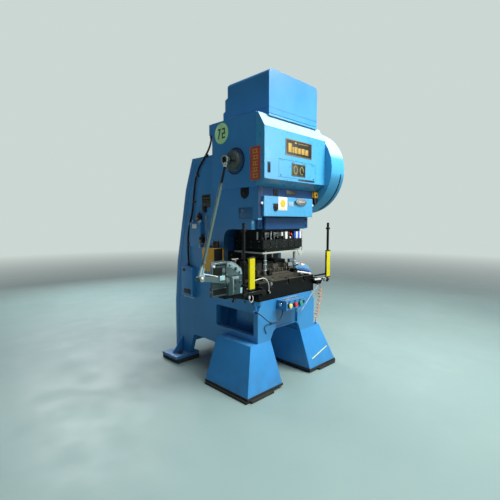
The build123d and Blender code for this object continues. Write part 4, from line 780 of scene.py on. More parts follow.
for k in range(5):
    z = 1872 + k * 51
    rp.box(-451.8, -451, -626, -564, z, z + 6, 0.2)
    rp.box(-451.8, -451, -626, -564, z + 28, z + 33, 0.2)
    rp.box(-451.8, -451, -622 + 9 * (k % 3), -615 + 9 * (k % 3), z + 6, z + 28, 0.2)
    rp.box(-451.8, -451, -580 - 7 * (k % 2), -573 - 7 * (k % 2), z + 6, z + 28, 0.2)
rp.done()
rp = Piece("side_label_dark", "blk_pl", slot="black_paint")
rp.box(-422, -419.8, 49, 184, 1640, 1768, 0.5)
rp.done()
rp = Piece("side_label_gold", "gold_d", slot="bronze")
for y0, y1, z0, z1 in ((53, 180, 1761, 1764), (53, 180, 1644, 1647), (53, 56, 1644, 1764), (177, 180, 1644, 1764),
                       (66, 168, 1730, 1738), (66, 168, 1690, 1692), (66, 168, 1672, 1674), (66, 168, 1708, 1710)):
    rp.box(-422.6, -421.8, y0, y1, z0, z1, 0.1)
rp.done()
rc = Piece("side_recess_frame", "blue", slot="blue_paint")
for y0, y1, z0, z1 in ((-543, -352, 1625, 1632), (-543, -352, 1519, 1526), (-543, -536, 1526, 1625), (-359, -352, 1526, 1625)):
    rc.box(-423, -419.8, y0, y1, z0, z1, 1)
rc.done()
rc = Piece("side_recess_panel", "blue_d", slot="blue_paint")
rc.box(-420.8, -419.8, -536, -359, 1526, 1625, 0.3)
rc.done()


# D-shaped rubber plugs
def dplug(name, c, half, h, plane, depth=5):
    a, z = c
    pts = [(a - half, z + h / 2), (a + half, z + h / 2)] + [(a + half * math.cos(t), z - h / 2 + half + half * math.sin(t) if math.sin(t) < 0 else z)
                                                           for t in [-k * math.pi / 14 for k in range(15)]]
    pc = Piece(name, "rubber", slot="rubber_black")
    if plane == "y":
        pc.prism(pts, "y", depth[0], depth[1], 1.5)
        pc.cyl((a, depth[0] + 0.5, z), NY, half * 0.35, 5, 1.2)
    else:
        pc.prism(pts, "x", depth[0], depth[1], 1.5)
        pc.cyl((depth[0] + 0.5, a, z), NX, half * 0.35, 5, 1.2)
    pc.done()


dplug("plug_left", (-438, 1757), 50, 108, "x", (-426, -419.8))
dplug("plug_front_upper", (-193, 1751), 30, 72, "y", (-603, -597.8))
dplug("plug_front_lower", (-222, 1627), 30, 68, "y", (-631, -625.8))
pg = Piece("plug_screws", "blk_pl", slot="black_paint")
pg.pan((-431, -438, 1757), NX, 6)
pg.pan((-193, -608, 1751), NY, 4)
pg.pan((-222, -636, 1627), NY, 4)
pg.done()

# labels and instruments on the slide cover
l = Piece("label_dark", "blk_pl", slot="black_paint")
l.box(-43, 95, -600.4, -597.8, 1746, 1790, 0.5)
l.done()
l = Piece("label_dark_marks", "olive", slot="bronze")
for k in range(4):
    l.box(-32 + k * 31, -12 + k * 31, -601, -600.2, 1757, 1779, 0.3)
l.done()
l = Piece("label_white", "label", slot="hose_white")
l.box(-186, -62, -628, -625.8, 1602, 1722, 0.4)
l.done()
l = Piece("label_yellow_field", "lab_y", slot="yellow_paint")
l.prism([(-164, 1664), (-144, 1630), (-104, 1630), (-84, 1664), (-104, 1698), (-144, 1698)], "y", -628.6, -627.8, 0.1)
l.box(-168, -80, -628.6, -627.8, 1611, 1617, 0.1)
l.done()
l = Piece("label_grey", "lab_g", slot="zinc")
l.box(-42, 28, -628, -625.8, 1640, 1686, 0.4)
l.done()
c = Piece("stroke_counter", "grey", slot="knob_chrome")
ov = [(140 + 84 * math.cos(k * math.pi / 16), 1686 + 33 * math.sin(k * math.pi / 16)) for k in range(32)]
c.prism(ov, "y", -640, -625.8, 4)
c.cyl((60, -626, 1686), NY, 13, 20, 3)
c.done()
c = Piece("stroke_counter_window", "glass", slot="black_paint")
c.box(96, 186, -642, -639.5, 1676, 1698, 0.6)
c.done()
c = Piece("stroke_counter_digits", "label", slot="hose_white")
for k in range(5):
    c.box(101 + k * 17, 112 + k * 17, -642.6, -641.8, 1680, 1694, 0.3)
c.done()
c = Piece("cover_pegs", "label", slot="zinc")
for x in (-387, 351):
    c.cyl((x, -597.5, 1660), NY, 8, 16, 1.5)
    c.cyl((x, -613, 1660), NY, 11, 6, 1.5)
c.done()
s_ = Piece("ram_sensor_body", "ochre", slot="ochre_paint")
s_.box(376, 434, -622, -580, 1736, 1798, 3)
s_.cyl((405, -600, 1798), Z, 14, 10, 2)
s_.box(366, 378, -600, -560, 1740, 1796, 1)
s_.done()
s_ = Piece("ram_sensor_head", "blk_pl", slot="black_paint")
s_.box(382, 430, -618, -582, 1690, 1736, 3)
s_.cyl((406, -600, 1674), Z, 12, 17, 2)
s_.cyl((405, -622, 1766), NY, 11, 3, 1)
s_.done()

# crank end: flange ring, bolts, drive stud block
# painted shadow: a dark ring round the flange stands in for the shadow line in the groove
cr = Piece("crank_flange_shadow_ring", "groove", slot="blue_paint")
cr.ring((-453.4, -350, 2036), NX, 117.5, 106, 1.9, 64)
cr.done()
cr = Piece("crank_flange_face", "flange", slot="blue_paint")
cr.ring((-454.4, -350, 2036), NX, 105.5, 88, 1.0, 64)
cr.done()
cr = Piece("crank_disc_rim", "disc_i", body="crank", slot="dark_steel")
cr.ring((-482, -350, 2036), NX, 88, 77.6, 16, 56)
cr.done()
cr = Piece("crank_disc_bolts", "dark", body="crank", slot="dark_steel")
for a in range(39, 399, 60):
    cr.cap((-496, -350 + 60 * math.cos(math.radians(a)), 2036 + 60 * math.sin(math.radians(a))), NX, 4.5)
cr.ring((-505, -350, 2036), NX, 75, 71, 1.0, 48)
cr.done()
st = Piece("link_stud", "collar", body="link_rod", slot="zinc")
st.cyl((-547.6, -319, 2041), NX, 41, 7, 2.0, 44)
st.ring((-554.6, -319, 2041), NX, 40, 29, 4, 44)
st.lathe(Vector((-531, -319, 2041)) - Vector((479, 238, 979)).normalized() * 78, Vector((479, 238, 979)), [(0, 0), (11, 0), (16, 28), (17, 44), (0, 46)], 24)
st.done()
st = Piece("link_stud_end", "die", body="link_rod", slot="dark_steel")
st.cyl((-554.7, -319, 2041), NX, 28, 2, 0.6, 40)
st.cyl((-556.5, -319, 2041), NX, 13, 9, 1.5, 32)
st.done()
st = Piece("link_eye_ring", "dark", body="link_rod", slot="dark_steel")
st.ring((-547.5, -319, 2041), NX, 29, 20, 2.5, 32)
st.done()
# threads and lock nuts of the link rod
B = Vector((-1010, -557, 1062))
T = Vector((-531, -319, 2041))
along = (T - B).normalized()
L = (T - B).length
th = Piece("link_threads", "die", body="link_rod", slot="dark_steel")
for s0, s1 in ((34, 92), (L - 258, L - 34)):
    k = s0
    while k < s1:
        th.lathe(B + along * k, along, [(9.1, 0), (10.6, 1.0), (10.6, 1.8), (9.1, 2.8)], 14)
        k += 2.9
th.done()
nt = Piece("link_fork", "feeder_t", body="link_rod", slot="feeder_paint")
perp = Vector((along.z, 0, -along.x)).normalized()
tmp = bmesh.new()
vs = []
for c, w in ((B + along * 4, 23), (B + along * 66, 17), (B + along * 122, 10.5)):
    vs.append([tmp.verts.new((c + perp * w * a + Vector((0, 9.5 * b, 0))) * MM) for a, b in ((-1, -1), (1, -1), (1, 1), (-1, 1))])
for lo, hi in zip(vs, vs[1:]):
    for k in range(4):
        tmp.faces.new((lo[k], lo[(k + 1) % 4], hi[(k + 1) % 4], hi[k]))
tmp.faces.new(vs[0])
tmp.faces.new(vs[-1])
bmesh.ops.recalc_face_normals(tmp, faces=tmp.faces[:])
bmesh.ops.bevel(tmp, geom=[e for e in tmp.edges if e.calc_face_angle(0) > 0.5], offset=2 * MM, segments=2, profile=0.6, affect="EDGES")
nt.take(tmp)
nt.done()
nt = Piece("link_nuts", "dark", body="link_rod", slot="zinc")
nt.hexa(B + along * 124, along, 30, 14)
nt.hexa(B + along * (L - 262), along, 30, 14)
nt.hexa(B + along * (L - 60), along, 30, 14)
nt.done()
nt = Piece("arm_end_cap", "zinc", body="feeder_arm", slot="knob_chrome")
nt.cyl((-1010, -580.2, 1062), NY, 20, 8, 2.5)
nt.cyl((-1010, -588.2, 1062), NY, 8, 3, 1)
nt.done()
nt = Piece("arm_rail", "label", body="feeder_arm", slot="zinc")
nt.rod((-966, -531, 1096), (-812, -531, 1058), 4, 1)
for x, z in ((-950, 1066), (-830, 1046)):
    nt.cyl((x, -531, z), Z, 4, 28 if x < -900 else 14, 1)
nt.done()
nt = Piece("arm_block", "cyan", body="feeder_arm", slot="blue_paint_light")
nt.box(-806, -752, -549, -540.2, 1026, 1064, 2)
nt.done()
nt = Piece("arm_hub_clamp", "zinc", body="feeder_arm", slot="zinc")
nt.cap((-720, -540, 1036), NY, 5).cap((-720, -540, 996), NY, 5)
nt.done()

# ---------------------------------------------------------------------------
# die space
# ---------------------------------------------------------------------------
g = Piece("die_springs", "dark", body="ram", slot="bright_steel")
for x in (-268, -132, -60, 20, 92, 160, 232):
    for y in (-508, -186):
        g.spring((x, y, 1337), Z, 9.5, 2.4, 66, 6.5)
g.done()
g = Piece("die_spring_pins", "dark", body="ram", slot="bright_steel")
for x in (-268, -132, -60, 92, 232):
    g.rod((x, -508, 1335), (x, -508, 1408), 4.5)
g.done()
# light grey-white posts, made whiter so they read bright in the shaded die space: partly their own colour, partly
# painted light
g = Piece("die_posts_white_lit", "label", body="ram", slot="bright_steel")
for y in (-468, -278):
    g.rod((-290, y, 1335), (-290, y, 1408), 7)
g.done()
g = Piece("die_post_bright", "bright", body="ram", slot="bright_steel")
g.rod((-186, -536, 1335), (-186, -536, 1408), 8)
g.cyl((-186, -536, 1336), Z, 12, 8, 1)
g.cyl((-186, -536, 1398), Z, 12, 9, 1)
g.done()
g = Piece("die_clamps", "dark", body="ram", slot="dark_steel")
for x0, x1, z0 in ((-268, -212, 1358), (-152, -66, 1362)):
    g.box(x0, x1, -542, -520, z0, 1402, 2)
    g.box(x0 + 8, x0 + 22, -540, -522, 1336, z0 + 1, 1)
for x0 in (-240, -109):
    g.cap((x0, -542, 1380), NY, 8)
g.done()
g = Piece("die_white_blocks", "label", body="ram", slot="hose_white")
g.box(-40, -20, -544, -518, 1366, 1402, 1)
g.box(14, 46, -546, -516, 1337, 1406, 1.5)
g.box(182, 204, -546, -516, 1337, 1405, 1)
g.box(236, 258, -546, -516, 1337, 1405, 1)
g.box(84, 100, -544, -520, 1340, 1358, 1)
g.done()
g = Piece("die_blue_blocks", "blue_dp", body="ram", slot="blue_paint_light")
g.box(152, 181, -547, -515, 1337, 1406, 2)
g.box(205, 235, -547, -515, 1337, 1406, 2)
g.done()
g = Piece("die_black_blocks", "blk_pl", body="ram", slot="black_paint")
g.box(58, 80, -545, -516, 1340, 1404, 2)
g.box(116, 138, -543, -516, 1337, 1384, 2)
g.done()
g = Piece("die_red_cap", "b_red", body="ram", slot="button_red")
g.cyl((102, -542, 1382), NY, 10, 6, 1.5)
g.cyl((69, -545, 1390), NY, 6, 3, 1)
g.done()
g = Piece("upper_die_screws", "dark", body="ram", slot="dark_steel")
for x in (-280, -200, -120, -12, 90, 170, 256):
    g.cap((x, -546, 1318), NY, 7)
    g.cap((x, -546, 1266), NY, 6)
for y in (-500, -400, -300, -210):
    g.cap((-300, y, 1318), NX, 7)
    g.cap((-300, y, 1266), NX, 6)
    g.cap((276, y, 1318), X, 7)
g.done()
g = Piece("upper_die_inserts", "die", body="ram", slot="die_steel")
for x0, x1, z0, z1 in ((-288, -214, 1252, 1300), (-196, -96, 1255, 1312), (-80, 40, 1252, 1300), (58, 142, 1255, 1312), (158, 262, 1252, 1300)):
    g.box(x0, x1, -549, -545, z0, z1, 1.5)
for y0, y1 in ((-530, -450), (-430, -340), (-320, -230)):
    g.box(-303, -299, y0, y1, 1254, 1306, 1.5)
g.done()
# hanger rods of the stripper at its corners
g = Piece("stripper_rods", "bright", body="ram", slot="bright_steel")
g.rod((268, -550, 1218), (268, -550, 1410), 3.5)
g.box(261, 275, -554, -544.6, 1300, 1312, 1.5)
g.box(261, 275, -554, -544.6, 1234, 1246, 1.5)
g.done()
g = Piece("stripper_tab", "strip_st", body="stripper", slot="bright_steel")
g.prism([(200, 1212), (306, 1208), (304, 1198), (262, 1166), (236, 1157), (222, 1174)], "y", -553, -546.2, 1)
g.done()

g = Piece("lower_die_plates", "die_w", slot="bright_steel")
for x0, x1, z0, z1 in ((-176, -96, 1010, 1046), (-84, -10, 1014, 1092), (2, 66, 1008, 1044), (80, 152, 1012, 1094)):
    g.box(x0, x1, -474, -470, z0, z1, 1)
g.box(-292, -206, -474, -470, 1012, 1046, 1)
g.box(-250, 120, -520, -486, 1002.5, 1014, 1.5)
g.box(-160, 60, -535, -500, 1002.5, 1022, 2)
g.done()
g = Piece("lower_die_stack", "die", slot="die_steel")
g.box(-268, -214, -438, -260, 1120, 1134, 1.5)
g.box(-170, -30, -432, -250, 1098, 1118, 1.5)
g.box(-10, 150, -432, -250, 1098, 1128, 1.5)
g.box(-205, -182, -540, -250, 1002, 1052, 1.5)
g.box(170, 262, -520, -420, 1002, 1030, 2)
g.done()
# painted shade: the wide dark plate over the throat plate's front stands in for the shade behind the die; the two
# smaller boxes are lower die blocks
g = Piece("throat_shade_plate_and_die_blocks", "die", slot="die_steel")
g.box(-366, 366, -155, -148.6, 1004, 1216, 1.5)
g.box(-290, -236, -466, -246, 1118, 1142, 2)
g.box(-40, 150, -250, -236, 1098, 1145, 1.5)
g.done()
g = Piece("lower_die_screws", "dark", slot="dark_steel")
for x in (-272, -160, -60, 60, 160, 250):
    g.cap((x, -546, 982), NY, 6)
for x, y in ((-190, -536), (-120, -517), (-30, -517), (60, -517)):
    g.cap((x, y, 1016), Z, 6)
for y in (-520, -440, -300, -200):
    g.cap((-300, y, 982), NX, 6)
g.done()
g = Piece("lower_die_springs", "dark", slot="bright_steel")
for x in (-150, -90, -30, 30, 90, 140):
    g.spring((x, -494, 1016), Z, 7, 1.8, 44, 6)
    g.rod((x, -494, 1014), (x, -494, 1064), 4)
g.done()
g = Piece("post_bushes", "dark", slot="bright_steel")
for x in (-226, 202):
    for y in (-505, -205):
        g.ring((x, y, 1002), Z, 21, 12.2, 14, 28)
g.done()
g = Piece("post_rings_white", "white", slot="hose_white")
for z in (1050, 1104, 1140):
    g.ring((-226, -505, z), Z, 15, 12.1, 7, 28)
for z in (1072, 1106):
    g.ring((202, -505, z), Z, 16, 12.1, 12, 28)
g.done()
g = Piece("post_rings_blue", "blue_pl", slot="blue_paint_light")
for z in (1062, 1116):
    g.ring((-226, -505, z), Z, 15, 12.1, 8, 28)
for z in (1086, 1126):
    g.ring((202, -505, z), Z, 17, 12.1, 12, 28)
g.done()
# strip guide on the right, reaching over the bolster's end
g = Piece("guide_block", "blue_pl", slot="blue_paint_light")
g.prism([(150, 1052), (205, 1086), (300, 1072), (368, 1040), (402, 992), (402, 966), (360, 986), (286, 1010), (180, 1030)], "y", -568, -540, 2.5)
g.box(300, 392, -468, -400, 962, 1004, 4)
g.prism([(286, 962), (392, 962), (392, 984), (340, 1010), (286, 1012)], "y", -538, -470, 3)
g.done()
g = Piece("guide_plates_white", "label", slot="hose_white")
g.prism([(150, 1096), (262, 1084), (262, 1076), (205, 1088), (150, 1086)], "y", -572, -548, 1)
g.prism([(226, 1072), (262, 1082), (300, 1068), (262, 1058)], "y", -571, -567, 0.6)
g.done()
g = Piece("guide_block_dark", "blue_dp2", slot="blue_paint")
g.prism([(180, 1030), (286, 1012), (360, 988), (402, 964), (404, 980), (366, 1006), (286, 1034), (196, 1046)], "y", -572, -566, 1)
g.done()
g = Piece("guide_block_dim", "motor", slot="dark_steel")
g.box(112, 188, -522, -492, 1100, 1136, 3)
g.done()
g = Piece("guide_rail", "bright", slot="bright_steel")
g.box(284, 404, -532, -521, 985, 999, 1.5)
g.box(178, 300, -470, -462, 1044, 1056, 1)
g.rod((240, -560, 978), (390, -572, 972), 5.5)
g.rod((240, -560, 962), (240, -560, 984), 7)
g.rod((385, -571.6, 962), (385, -571.6, 978), 7)
g.done()
g = Piece("guide_rod_white", "white", slot="hose_white")
g.rod((150, -584, 1012), (372, -590, 970), 9, 3)
g.cyl((352, -588, 962), Z, 14, 16, 2)
g.done()
g = Piece("guide_knob_red", "b_red", slot="button_red")
g.lathe((244, -556, 1062), Z, [(0, 0), (6, 0), (6, 10), (13, 13), (15, 20), (13, 27), (7, 30), (0, 30)], 24)
g.done()
g = Piece("guide_wires", "pvc_grey", slot="cable_grey")
g.tube([(230, -508, 1090), (262, -520, 1104), (300, -526, 1080), (338, -522, 1034), (364, -508, 1016)], 3, 8)
g.tube([(215, -508, 1060), (246, -530, 1046), (290, -534, 1006), (330, -530, 998)], 2.5, 8)
g.done()

# bolster fittings
g = Piece("bolster_boss", "grey", slot="bolster_steel")
g.cyl((-249, -600, 940), NY, 17, 9, 3)
g.cyl((-204, -566, 960), Z, 15, 10, 3)
g.done()
g = Piece("bolster_boss_black", "die", slot="black_paint")
g.cyl((-352, -600, 872), NY, 34, 8, 3)
g.cyl((-352, -608, 872), NY, 20, 6, 2)
g.done()
g = Piece("bolster_elbow", "zinc", slot="zinc")
g.hexa((-291, -621, 869), NY, 15, 6)
g.hexa((-291, -612, 880), Z, 14, 6)
g.hexa((-536, -672, 1012), X, 14, 7)
g.done()
g = Piece("bolster_nuts", "dark", slot="dark_steel")
for x in (-240, 0, 240):
    for y in (-578, -172):
        g.bolt((x, y, 960), Z, 27)
        g.box(x - 15, x + 15, y - 12, y + 12, 908.5, 925, 1)
g.done()

# ---------------------------------------------------------------------------
# bed, box and light curtain
# ---------------------------------------------------------------------------
g = Piece("button_collars", "blk_pl", slot="black_paint")
for x in (-126, -46, 29):
    g.ring((x, -715, 738), NY, 25, 21.8, 4, 32)
    g.ring((x, -719, 738), NY, 23.4, 21.8, 8, 32)
g.cyl((84, -715, 745), NY, 14, 8, 2)
g.ring((-168, -661, 749), NX, 19, 7, 3, 32)
g.done()
g = Piece("box_lid_seam", "blue_d", slot="blue_paint")
g.box(-168.8, 120.8, -715.8, -600.5, 772, 774, 0.2)
g.done()
g = Piece("box_screws", "zinc", slot="zinc")
for x in (-156, 108):
    for z in (704, 764):
        g.pan((x, -715, z), NY, 4)
g.done()
g = Piece("box_tags", "blk_pl", slot="black_paint")
for x in (-126, -46, 29):
    g.box(x - 16, x + 16, -715.8, -714.8, 768, 777, 0.2)
g.done()
# gloves and tools lying on the box's lid
g = Piece("lid_spanner", "zinc", slot="zinc")
g.box(-120, 30, -668, -656, 782, 787, 1.5)
g.ring((-128, -662, 782), Z, 16, 9, 5, 24)
g.ring((40, -662, 782), Z, 14, 8, 5, 24)
g.done()
g = Piece("lid_cloth", "pvc_grey", slot="cable_grey")
g.tube([(-128, -628, 786), (-80, -640, 788), (-20, -622, 787), (50, -634, 788), (92, -626, 786)], 4, 8)
g.done()
g = Piece("bed_screws", "dark", slot="dark_steel")
for y in (-540, -440, -300, -190):
    g.cap((-420, y, 775), NX, 8)
    g.cap((420, y, 775), X, 8)
g.done()
g = Piece("bed_cable_loop", "pvc", slot="cable_black")
g.tube([(-185, -598, 571), (-192, -607, 572), (-260, -608, 575), (-322, -607, 572), (-340, -607, 560), (-334, -607, 530), (-313, -606, 500), (-311, -598, 491)], 3.5, 8)
g.box(-262, -252, -613, -599.6, 567, 583, 1.5)
g.done()
g = Piece("foot_strip", "lab_y", slot="yellow_paint")
tmp_pts = [(278, 127), (562, 189), (566, 180), (282, 117)]
# lies on the sloped front of the right foot
tmp = bmesh.new()
vs = []
for off in (0.0, 1.4):
    for x, z in tmp_pts:
        y = -710 + (z - 40) / 380 * 110 - 0.4 - off
        vs.append(tmp.verts.new(Vector((x, y, z)) * MM))
for f in ((0, 1, 2, 3), (7, 6, 5, 4), (0, 4, 5, 1), (1, 5, 6, 2), (2, 6, 7, 3), (3, 7, 4, 0)):
    tmp.faces.new([vs[i] for i in f])
bmesh.ops.recalc_face_normals(tmp, faces=tmp.faces[:])
g.take(tmp)
g.done()
M["strip"] = plastic("pale_tape", (0.66, 0.80, 0.42), rough=0.45, fade=0.06)
bpy.data.objects["foot_strip"].data.materials[0] = M["strip"]
g = Piece("foot_bolts", "dark", slot="dark_steel")
for s_x in (-1, 1):
    g.cyl((s_x * 500, -500, 65), Z, 30, 5, 1)
    g.hexa((s_x * 500, -500, 70), Z, 36, 20)
    g.cyl((s_x * 500, -500, 90), Z, 12, 22, 2)
    g.cyl((s_x * 500, 500, 70), Z, 30, 5, 1)
    g.hexa((s_x * 500, 500, 75), Z, 36, 20)
    g.cyl((s_x * 500, 500, 95), Z, 12, 22, 2)
g.done()
g = Piece("coil_fittings", "chrome", slot="knob_chrome")
g.hexa((480, -631, 862), NZ, 17, 8)
g.hexa((480, -585, 446), Z, 17, 8)
g.done()

g = Piece("curtain_lenses", "glass", slot="black_paint")
g.box(-543, -541.2, -684, -666, 962, 1188, 0.5)
g.box(515.2, 517, -684, -666, 950, 1182, 0.5)
g.done()
g = Piece("curtain_caps", "blk_pl", slot="black_paint")
for x0, x1, z0, z1 in ((-607.5, -540.5, 1201, 1212), (-607.5, -540.5, 936, 947), (514.5, 581.5, 1195, 1206), (514.5, 581.5, 924, 935)):
    g.box(x0, x1, -687.5, -664.2, z0, z1, 2.5)
g.cyl((-574, -675, 936), NZ, 7, 16, 1.5)
g.cyl((548, -675, 924), NZ, 7, 16, 1.5)
g.done()
g = Piece("curtain_clamps", "black", slot="black_paint")
for x0 in (-649, 573):
    for z in (884, 966, 1150, 1420):
        g.box(x0, x0 + 32, -661, -629, z, z + 20, 2)
for x0 in (-640, 582):
    g.cyl((x0 + 7, -661, 976), NY, 8, 12, 2)
g.box(374, 592, -642, -628, 944, 960, 1.5)
for x in (350, 396):
    g.rod((x, -660, 918), (x, -598, 918), 5, 1)
g.done()
g = Piece("clamp_knobs", "chrome", slot="knob_chrome")
g.lathe((520, -646, 908), NY, [(0, 0), (7, 0), (7, 8), (17, 12), (18, 24), (12, 29), (0, 29)], 24)
g.lathe((476, -646, 893), NY, [(0, 0), (6, 0), (6, 6), (13, 9), (13, 20), (0, 22)], 24)
g.done()
g = Piece("clamp_knob_white", "white", slot="hose_white")
g.rod((330, -666, 920), (440, -664, 914), 9, 3)
g.lathe((510, -640, 917), NY, [(0, 0), (6, 0), (6, 10), (11, 13), (11, 22), (0, 24)], 24)
g.done()
g = Piece("clamp_bolts", "zinc", slot="zinc")
for x in (-409, 409):
    s_ = -1 if x < 0 else 1
    for y in (-560, -540):
        g.bolt((x + s_ * 4, y, 878 if y == -560 else 914), (s_, 0, 0), 14)
g.done()
# white air fittings under the left bar
g = Piece("air_fittings", "white", slot="hose_white")
g.cyl((-574, -650, 858), Z, 9, 26, 2)
g.tube([(-574, -650, 862), (-574, -652, 838), (-556, -654, 824), (-534, -652, 836), (-528, -650, 862), (-528, -640, 880)], 3, 10)
g.done()

# ---------------------------------------------------------------------------
# units on the left of the column
# ---------------------------------------------------------------------------
g = Piece("oiler_cap", "blk_pl", slot="rubber_black")
g.lathe((-480, -100, 1247), Z, [(0, 0), (33, 0), (34, 4), (34, 60), (30, 67), (12, 69), (0, 69)], 32)
g.cyl((-480, -30, 1250), Z, 14, 18, 3)
g.box(-512, -468, 4, 30, 1250, 1262, 2)
g.done()
g = Piece("oiler_face", "die", slot="black_paint")
g.box(-538, -422, -147.5, -144.8, 1034, 1246, 1)
g.done()
g = Piece("oiler_lines", "brass", slot="bronze")
g.tube([(-520, 36, 1190), (-520, 60, 1190), (-500, 78, 1210), (-470, 92, 1250), (-444, 98, 1330), (-440, 98, 1430), (-438, 98, 1540)], 3, 8)
g.tube([(-520, 36, 1150), (-520, 56, 1150), (-506, 76, 1130), (-470, 86, 1090), (-440, 88, 1040), (-430, 88, 980)], 3, 8)
g.hexa((-520, 34, 1190), Y, 13, 8).hexa((-520, 34, 1150), Y, 13, 8)
g.cyl((-438, 98, 1530), Z, 7, 26, 1.5)
g.done()
g = Piece("oiler_trim", "ochre", slot="ochre_paint")
g.box(-437, -424, -149.5, -147, 1044, 1240, 1)
g.box(-543, -539.8, -60, 20, 1225, 1238, 1.5)
g.done()
g = Piece("air_unit_window", "label", slot="hose_white")
g.box(-461.5, -459.8, 228, 300, 1432, 1474, 0.6)
g.done()
g = Piece("air_unit_cap", "white", slot="hose_white")
g.lathe((-441, 195, 1490), Z, [(0, 0), (17, 0), (20, 4), (20, 22), (15, 32), (6, 35), (0, 35)], 28)
g.done()
g = Piece("air_unit_details", "zinc", slot="zinc")
for y in (178, 335):
    for z in (1258, 1478):
        g.pan((-460, y, z), NX, 5)
g.hexa((-440, 320, 1492), Z, 20, 10)
g.cyl((-440, 320, 1502), Z, 6, 20, 1)
g.hexa((-440, 200, 1245), NZ, 20, 10)
g.done()
g = Piece("junction_box_lid", "blue", slot="blue_paint")
g.box(-470, -464.5, 297, 486, 718, 1019, 3)
g.done()
g = Piece("junction_box_hinge", "blk_pl", slot="black_paint")
g.box(-472, -469.5, 330, 452, 742, 792, 1)
g.box(-471.5, -469.5, 420, 470, 975, 1003, 1)
g.done()
g = Piece("junction_box_screws", "zinc", slot="zinc")
for y in (308, 475):
    for z in (730, 1007):
        g.pan((-470, y, z), NX, 5)
for k in range(5):
    g.cyl((-445, 315 + k * 38, 712), NZ, 9, 16, 1.5)
g.done()
# solenoid valves beside the column
g = Piece("valve_bodies", "blk_pl", slot="black_paint")
for y, z in ((206, 1540), (160, 1320)):
    g.box(-462, -420, y - 24, y + 24, z - 34, z + 26, 4)
    g.cyl((-442, y, z + 26), Z, 15, 26, 3)
g.box(-446, -420, 110, 150, 1590, 1650, 3)
g.done()
g = Piece("valve_fittings", "brass", slot="bronze")
for y, z in ((206, 1540), (160, 1320)):
    g.hexa((-462, y, z - 10), NX, 17, 9)
    g.cyl((-471, y, z - 10), NX, 6, 10, 1)
    g.cyl((-442, y, z - 34), NZ, 8, 14, 1)
g.done()
# ---------------------------------------------------------------------------
# roll feeder
# ---------------------------------------------------------------------------
g = Piece("feeder_spot", "label", slot="zinc")
g.cyl((-834, -506.2, 1138), NY, 9, 5, 1.5)
g.done()
g = Piece("feeder_window", "die", slot="black_paint")
g.box(-838, -690, -497, -494.6, 898, 948, 1.5)
g.done()
g = Piece("feeder_window_rim", "feeder_l", slot="feeder_paint")
for x0, x1, z0, z1 in ((-844, -684, 948, 954), (-844, -684, 892, 898), (-844, -838, 898, 948), (-690, -684, 898, 948)):
    g.box(x0, x1, -499, -494.6, z0, z1, 1.2)
g.done()
g = Piece("feeder_hood_edge", "zinc", slot="feeder_paint")
g.prism([(-854, 1134), (-816, 1166), (-640, 1166), (-588, 1140), (-530, 1100), (-533, 1097.5), (-590, 1136), (-641, 1161.5), (-814.5, 1161.5), (-850, 1132.5)], "y", -507.4, -505.8, 0.3)
g.done()
g = Piece("feeder_dark_panel", "die", slot="black_paint")
g.box(-842, -744, -502.4, -500.8, 1042, 1124, 0.5)
g.done()
g = Piece("feeder_bosses", "dark", slot="dark_steel")
g.cyl((-600, -508, 1000), NY, 17, 8, 3)
g.cyl((-600, -508, 940), NY, 14, 6, 3)
g.cyl((-545, -508, 985), NY, 12, 6, 2)
g.lathe((-512, -452, 985), X, [(0, 0), (26, 0), (26, 6), (20, 9), (12, 9), (12, 16), (0, 16)], 28)
g.lathe((-512, -452, 925), X, [(0, 0), (20, 0), (20, 5), (10, 8), (0, 8)], 28)
g.cyl((-850, -483, 925), NX, 11, 8, 2)
g.done()
g = Piece("feeder_light_strip", "cyan", slot="feeder_paint")
g.box(-546, -516, -510, -507.6, 868 + 14, 930, 1)
g.done()
g = Piece("feeder_corner_plate", "feeder_t", slot="feeder_paint")
g.prism([(-700, 1122), (-690, 1158), (-641, 1160), (-592, 1134), (-536, 1094), (-522, 1050), (-548, 1048), (-596, 1078), (-640, 1112)], "y", -508.6, -506.3, 0.6)
g.done()
g = Piece("feeder_knobs", "blk_pl", slot="black_paint")
g.cyl((-600, -508.8, 1102), NY, 15, 6, 2)
g.cyl((-556, -508.8, 1068), NY, 10, 5, 2)
g.cyl((-668, -508.8, 1136), NY, 8, 5, 2)
g.done()
g = Piece("feeder_patch", "feeder_t", slot="feeder_paint")
g.box(-632, -616, -509.5, -508.2, 900, 1030, 0.6)
g.box(-640, -560, -509, -507.5, 1010, 1036, 1)
g.done()
g = Piece("feeder_screws", "zinc", slot="zinc")
for x in (-632, -520):
    for z in (890, 1028):
        g.cap((x, -508, z), NY, 5)
for x, z in ((-694, 1060), (-552, 1060), (-694, 1146)):
    g.cap((x, -506, z), NY, 4.5)
for y in (-498, -404):
    g.cap((-512, y, 1024), X, 5)
    g.cap((-512, y, 894), X, 5)
g.bolt((-598, -420, 880), NZ, 17)
g.done()
g = Piece("feeder_foot", "blk_pl", slot="rubber_black")
g.cyl((-598, -484, 850), NZ, 12, 26, 2)
g.lathe((-598, -484, 824), NZ, [(0, 0), (14, 0), (20, 6), (20, 14), (0, 14)], 24)
g.done()
g = Piece("feeder_gear_cover", "feeder", slot="feeder_paint")
g.box(-700, -682, -505, -500.4, 966, 1012, 2)
g.done()
g = Piece("screw_spring", "zinc", body="frame", slot="zinc")
g.spring((-553, -450, 1094), Z, 12.5, 2, 26, 4)
g.done()
g = Piece("feeder_bracket_bolts", "zinc", slot="zinc")
for y in (-480, -415):
    for z in (900, 935):
        g.bolt((-430, y, z), NX, 15)
g.done()

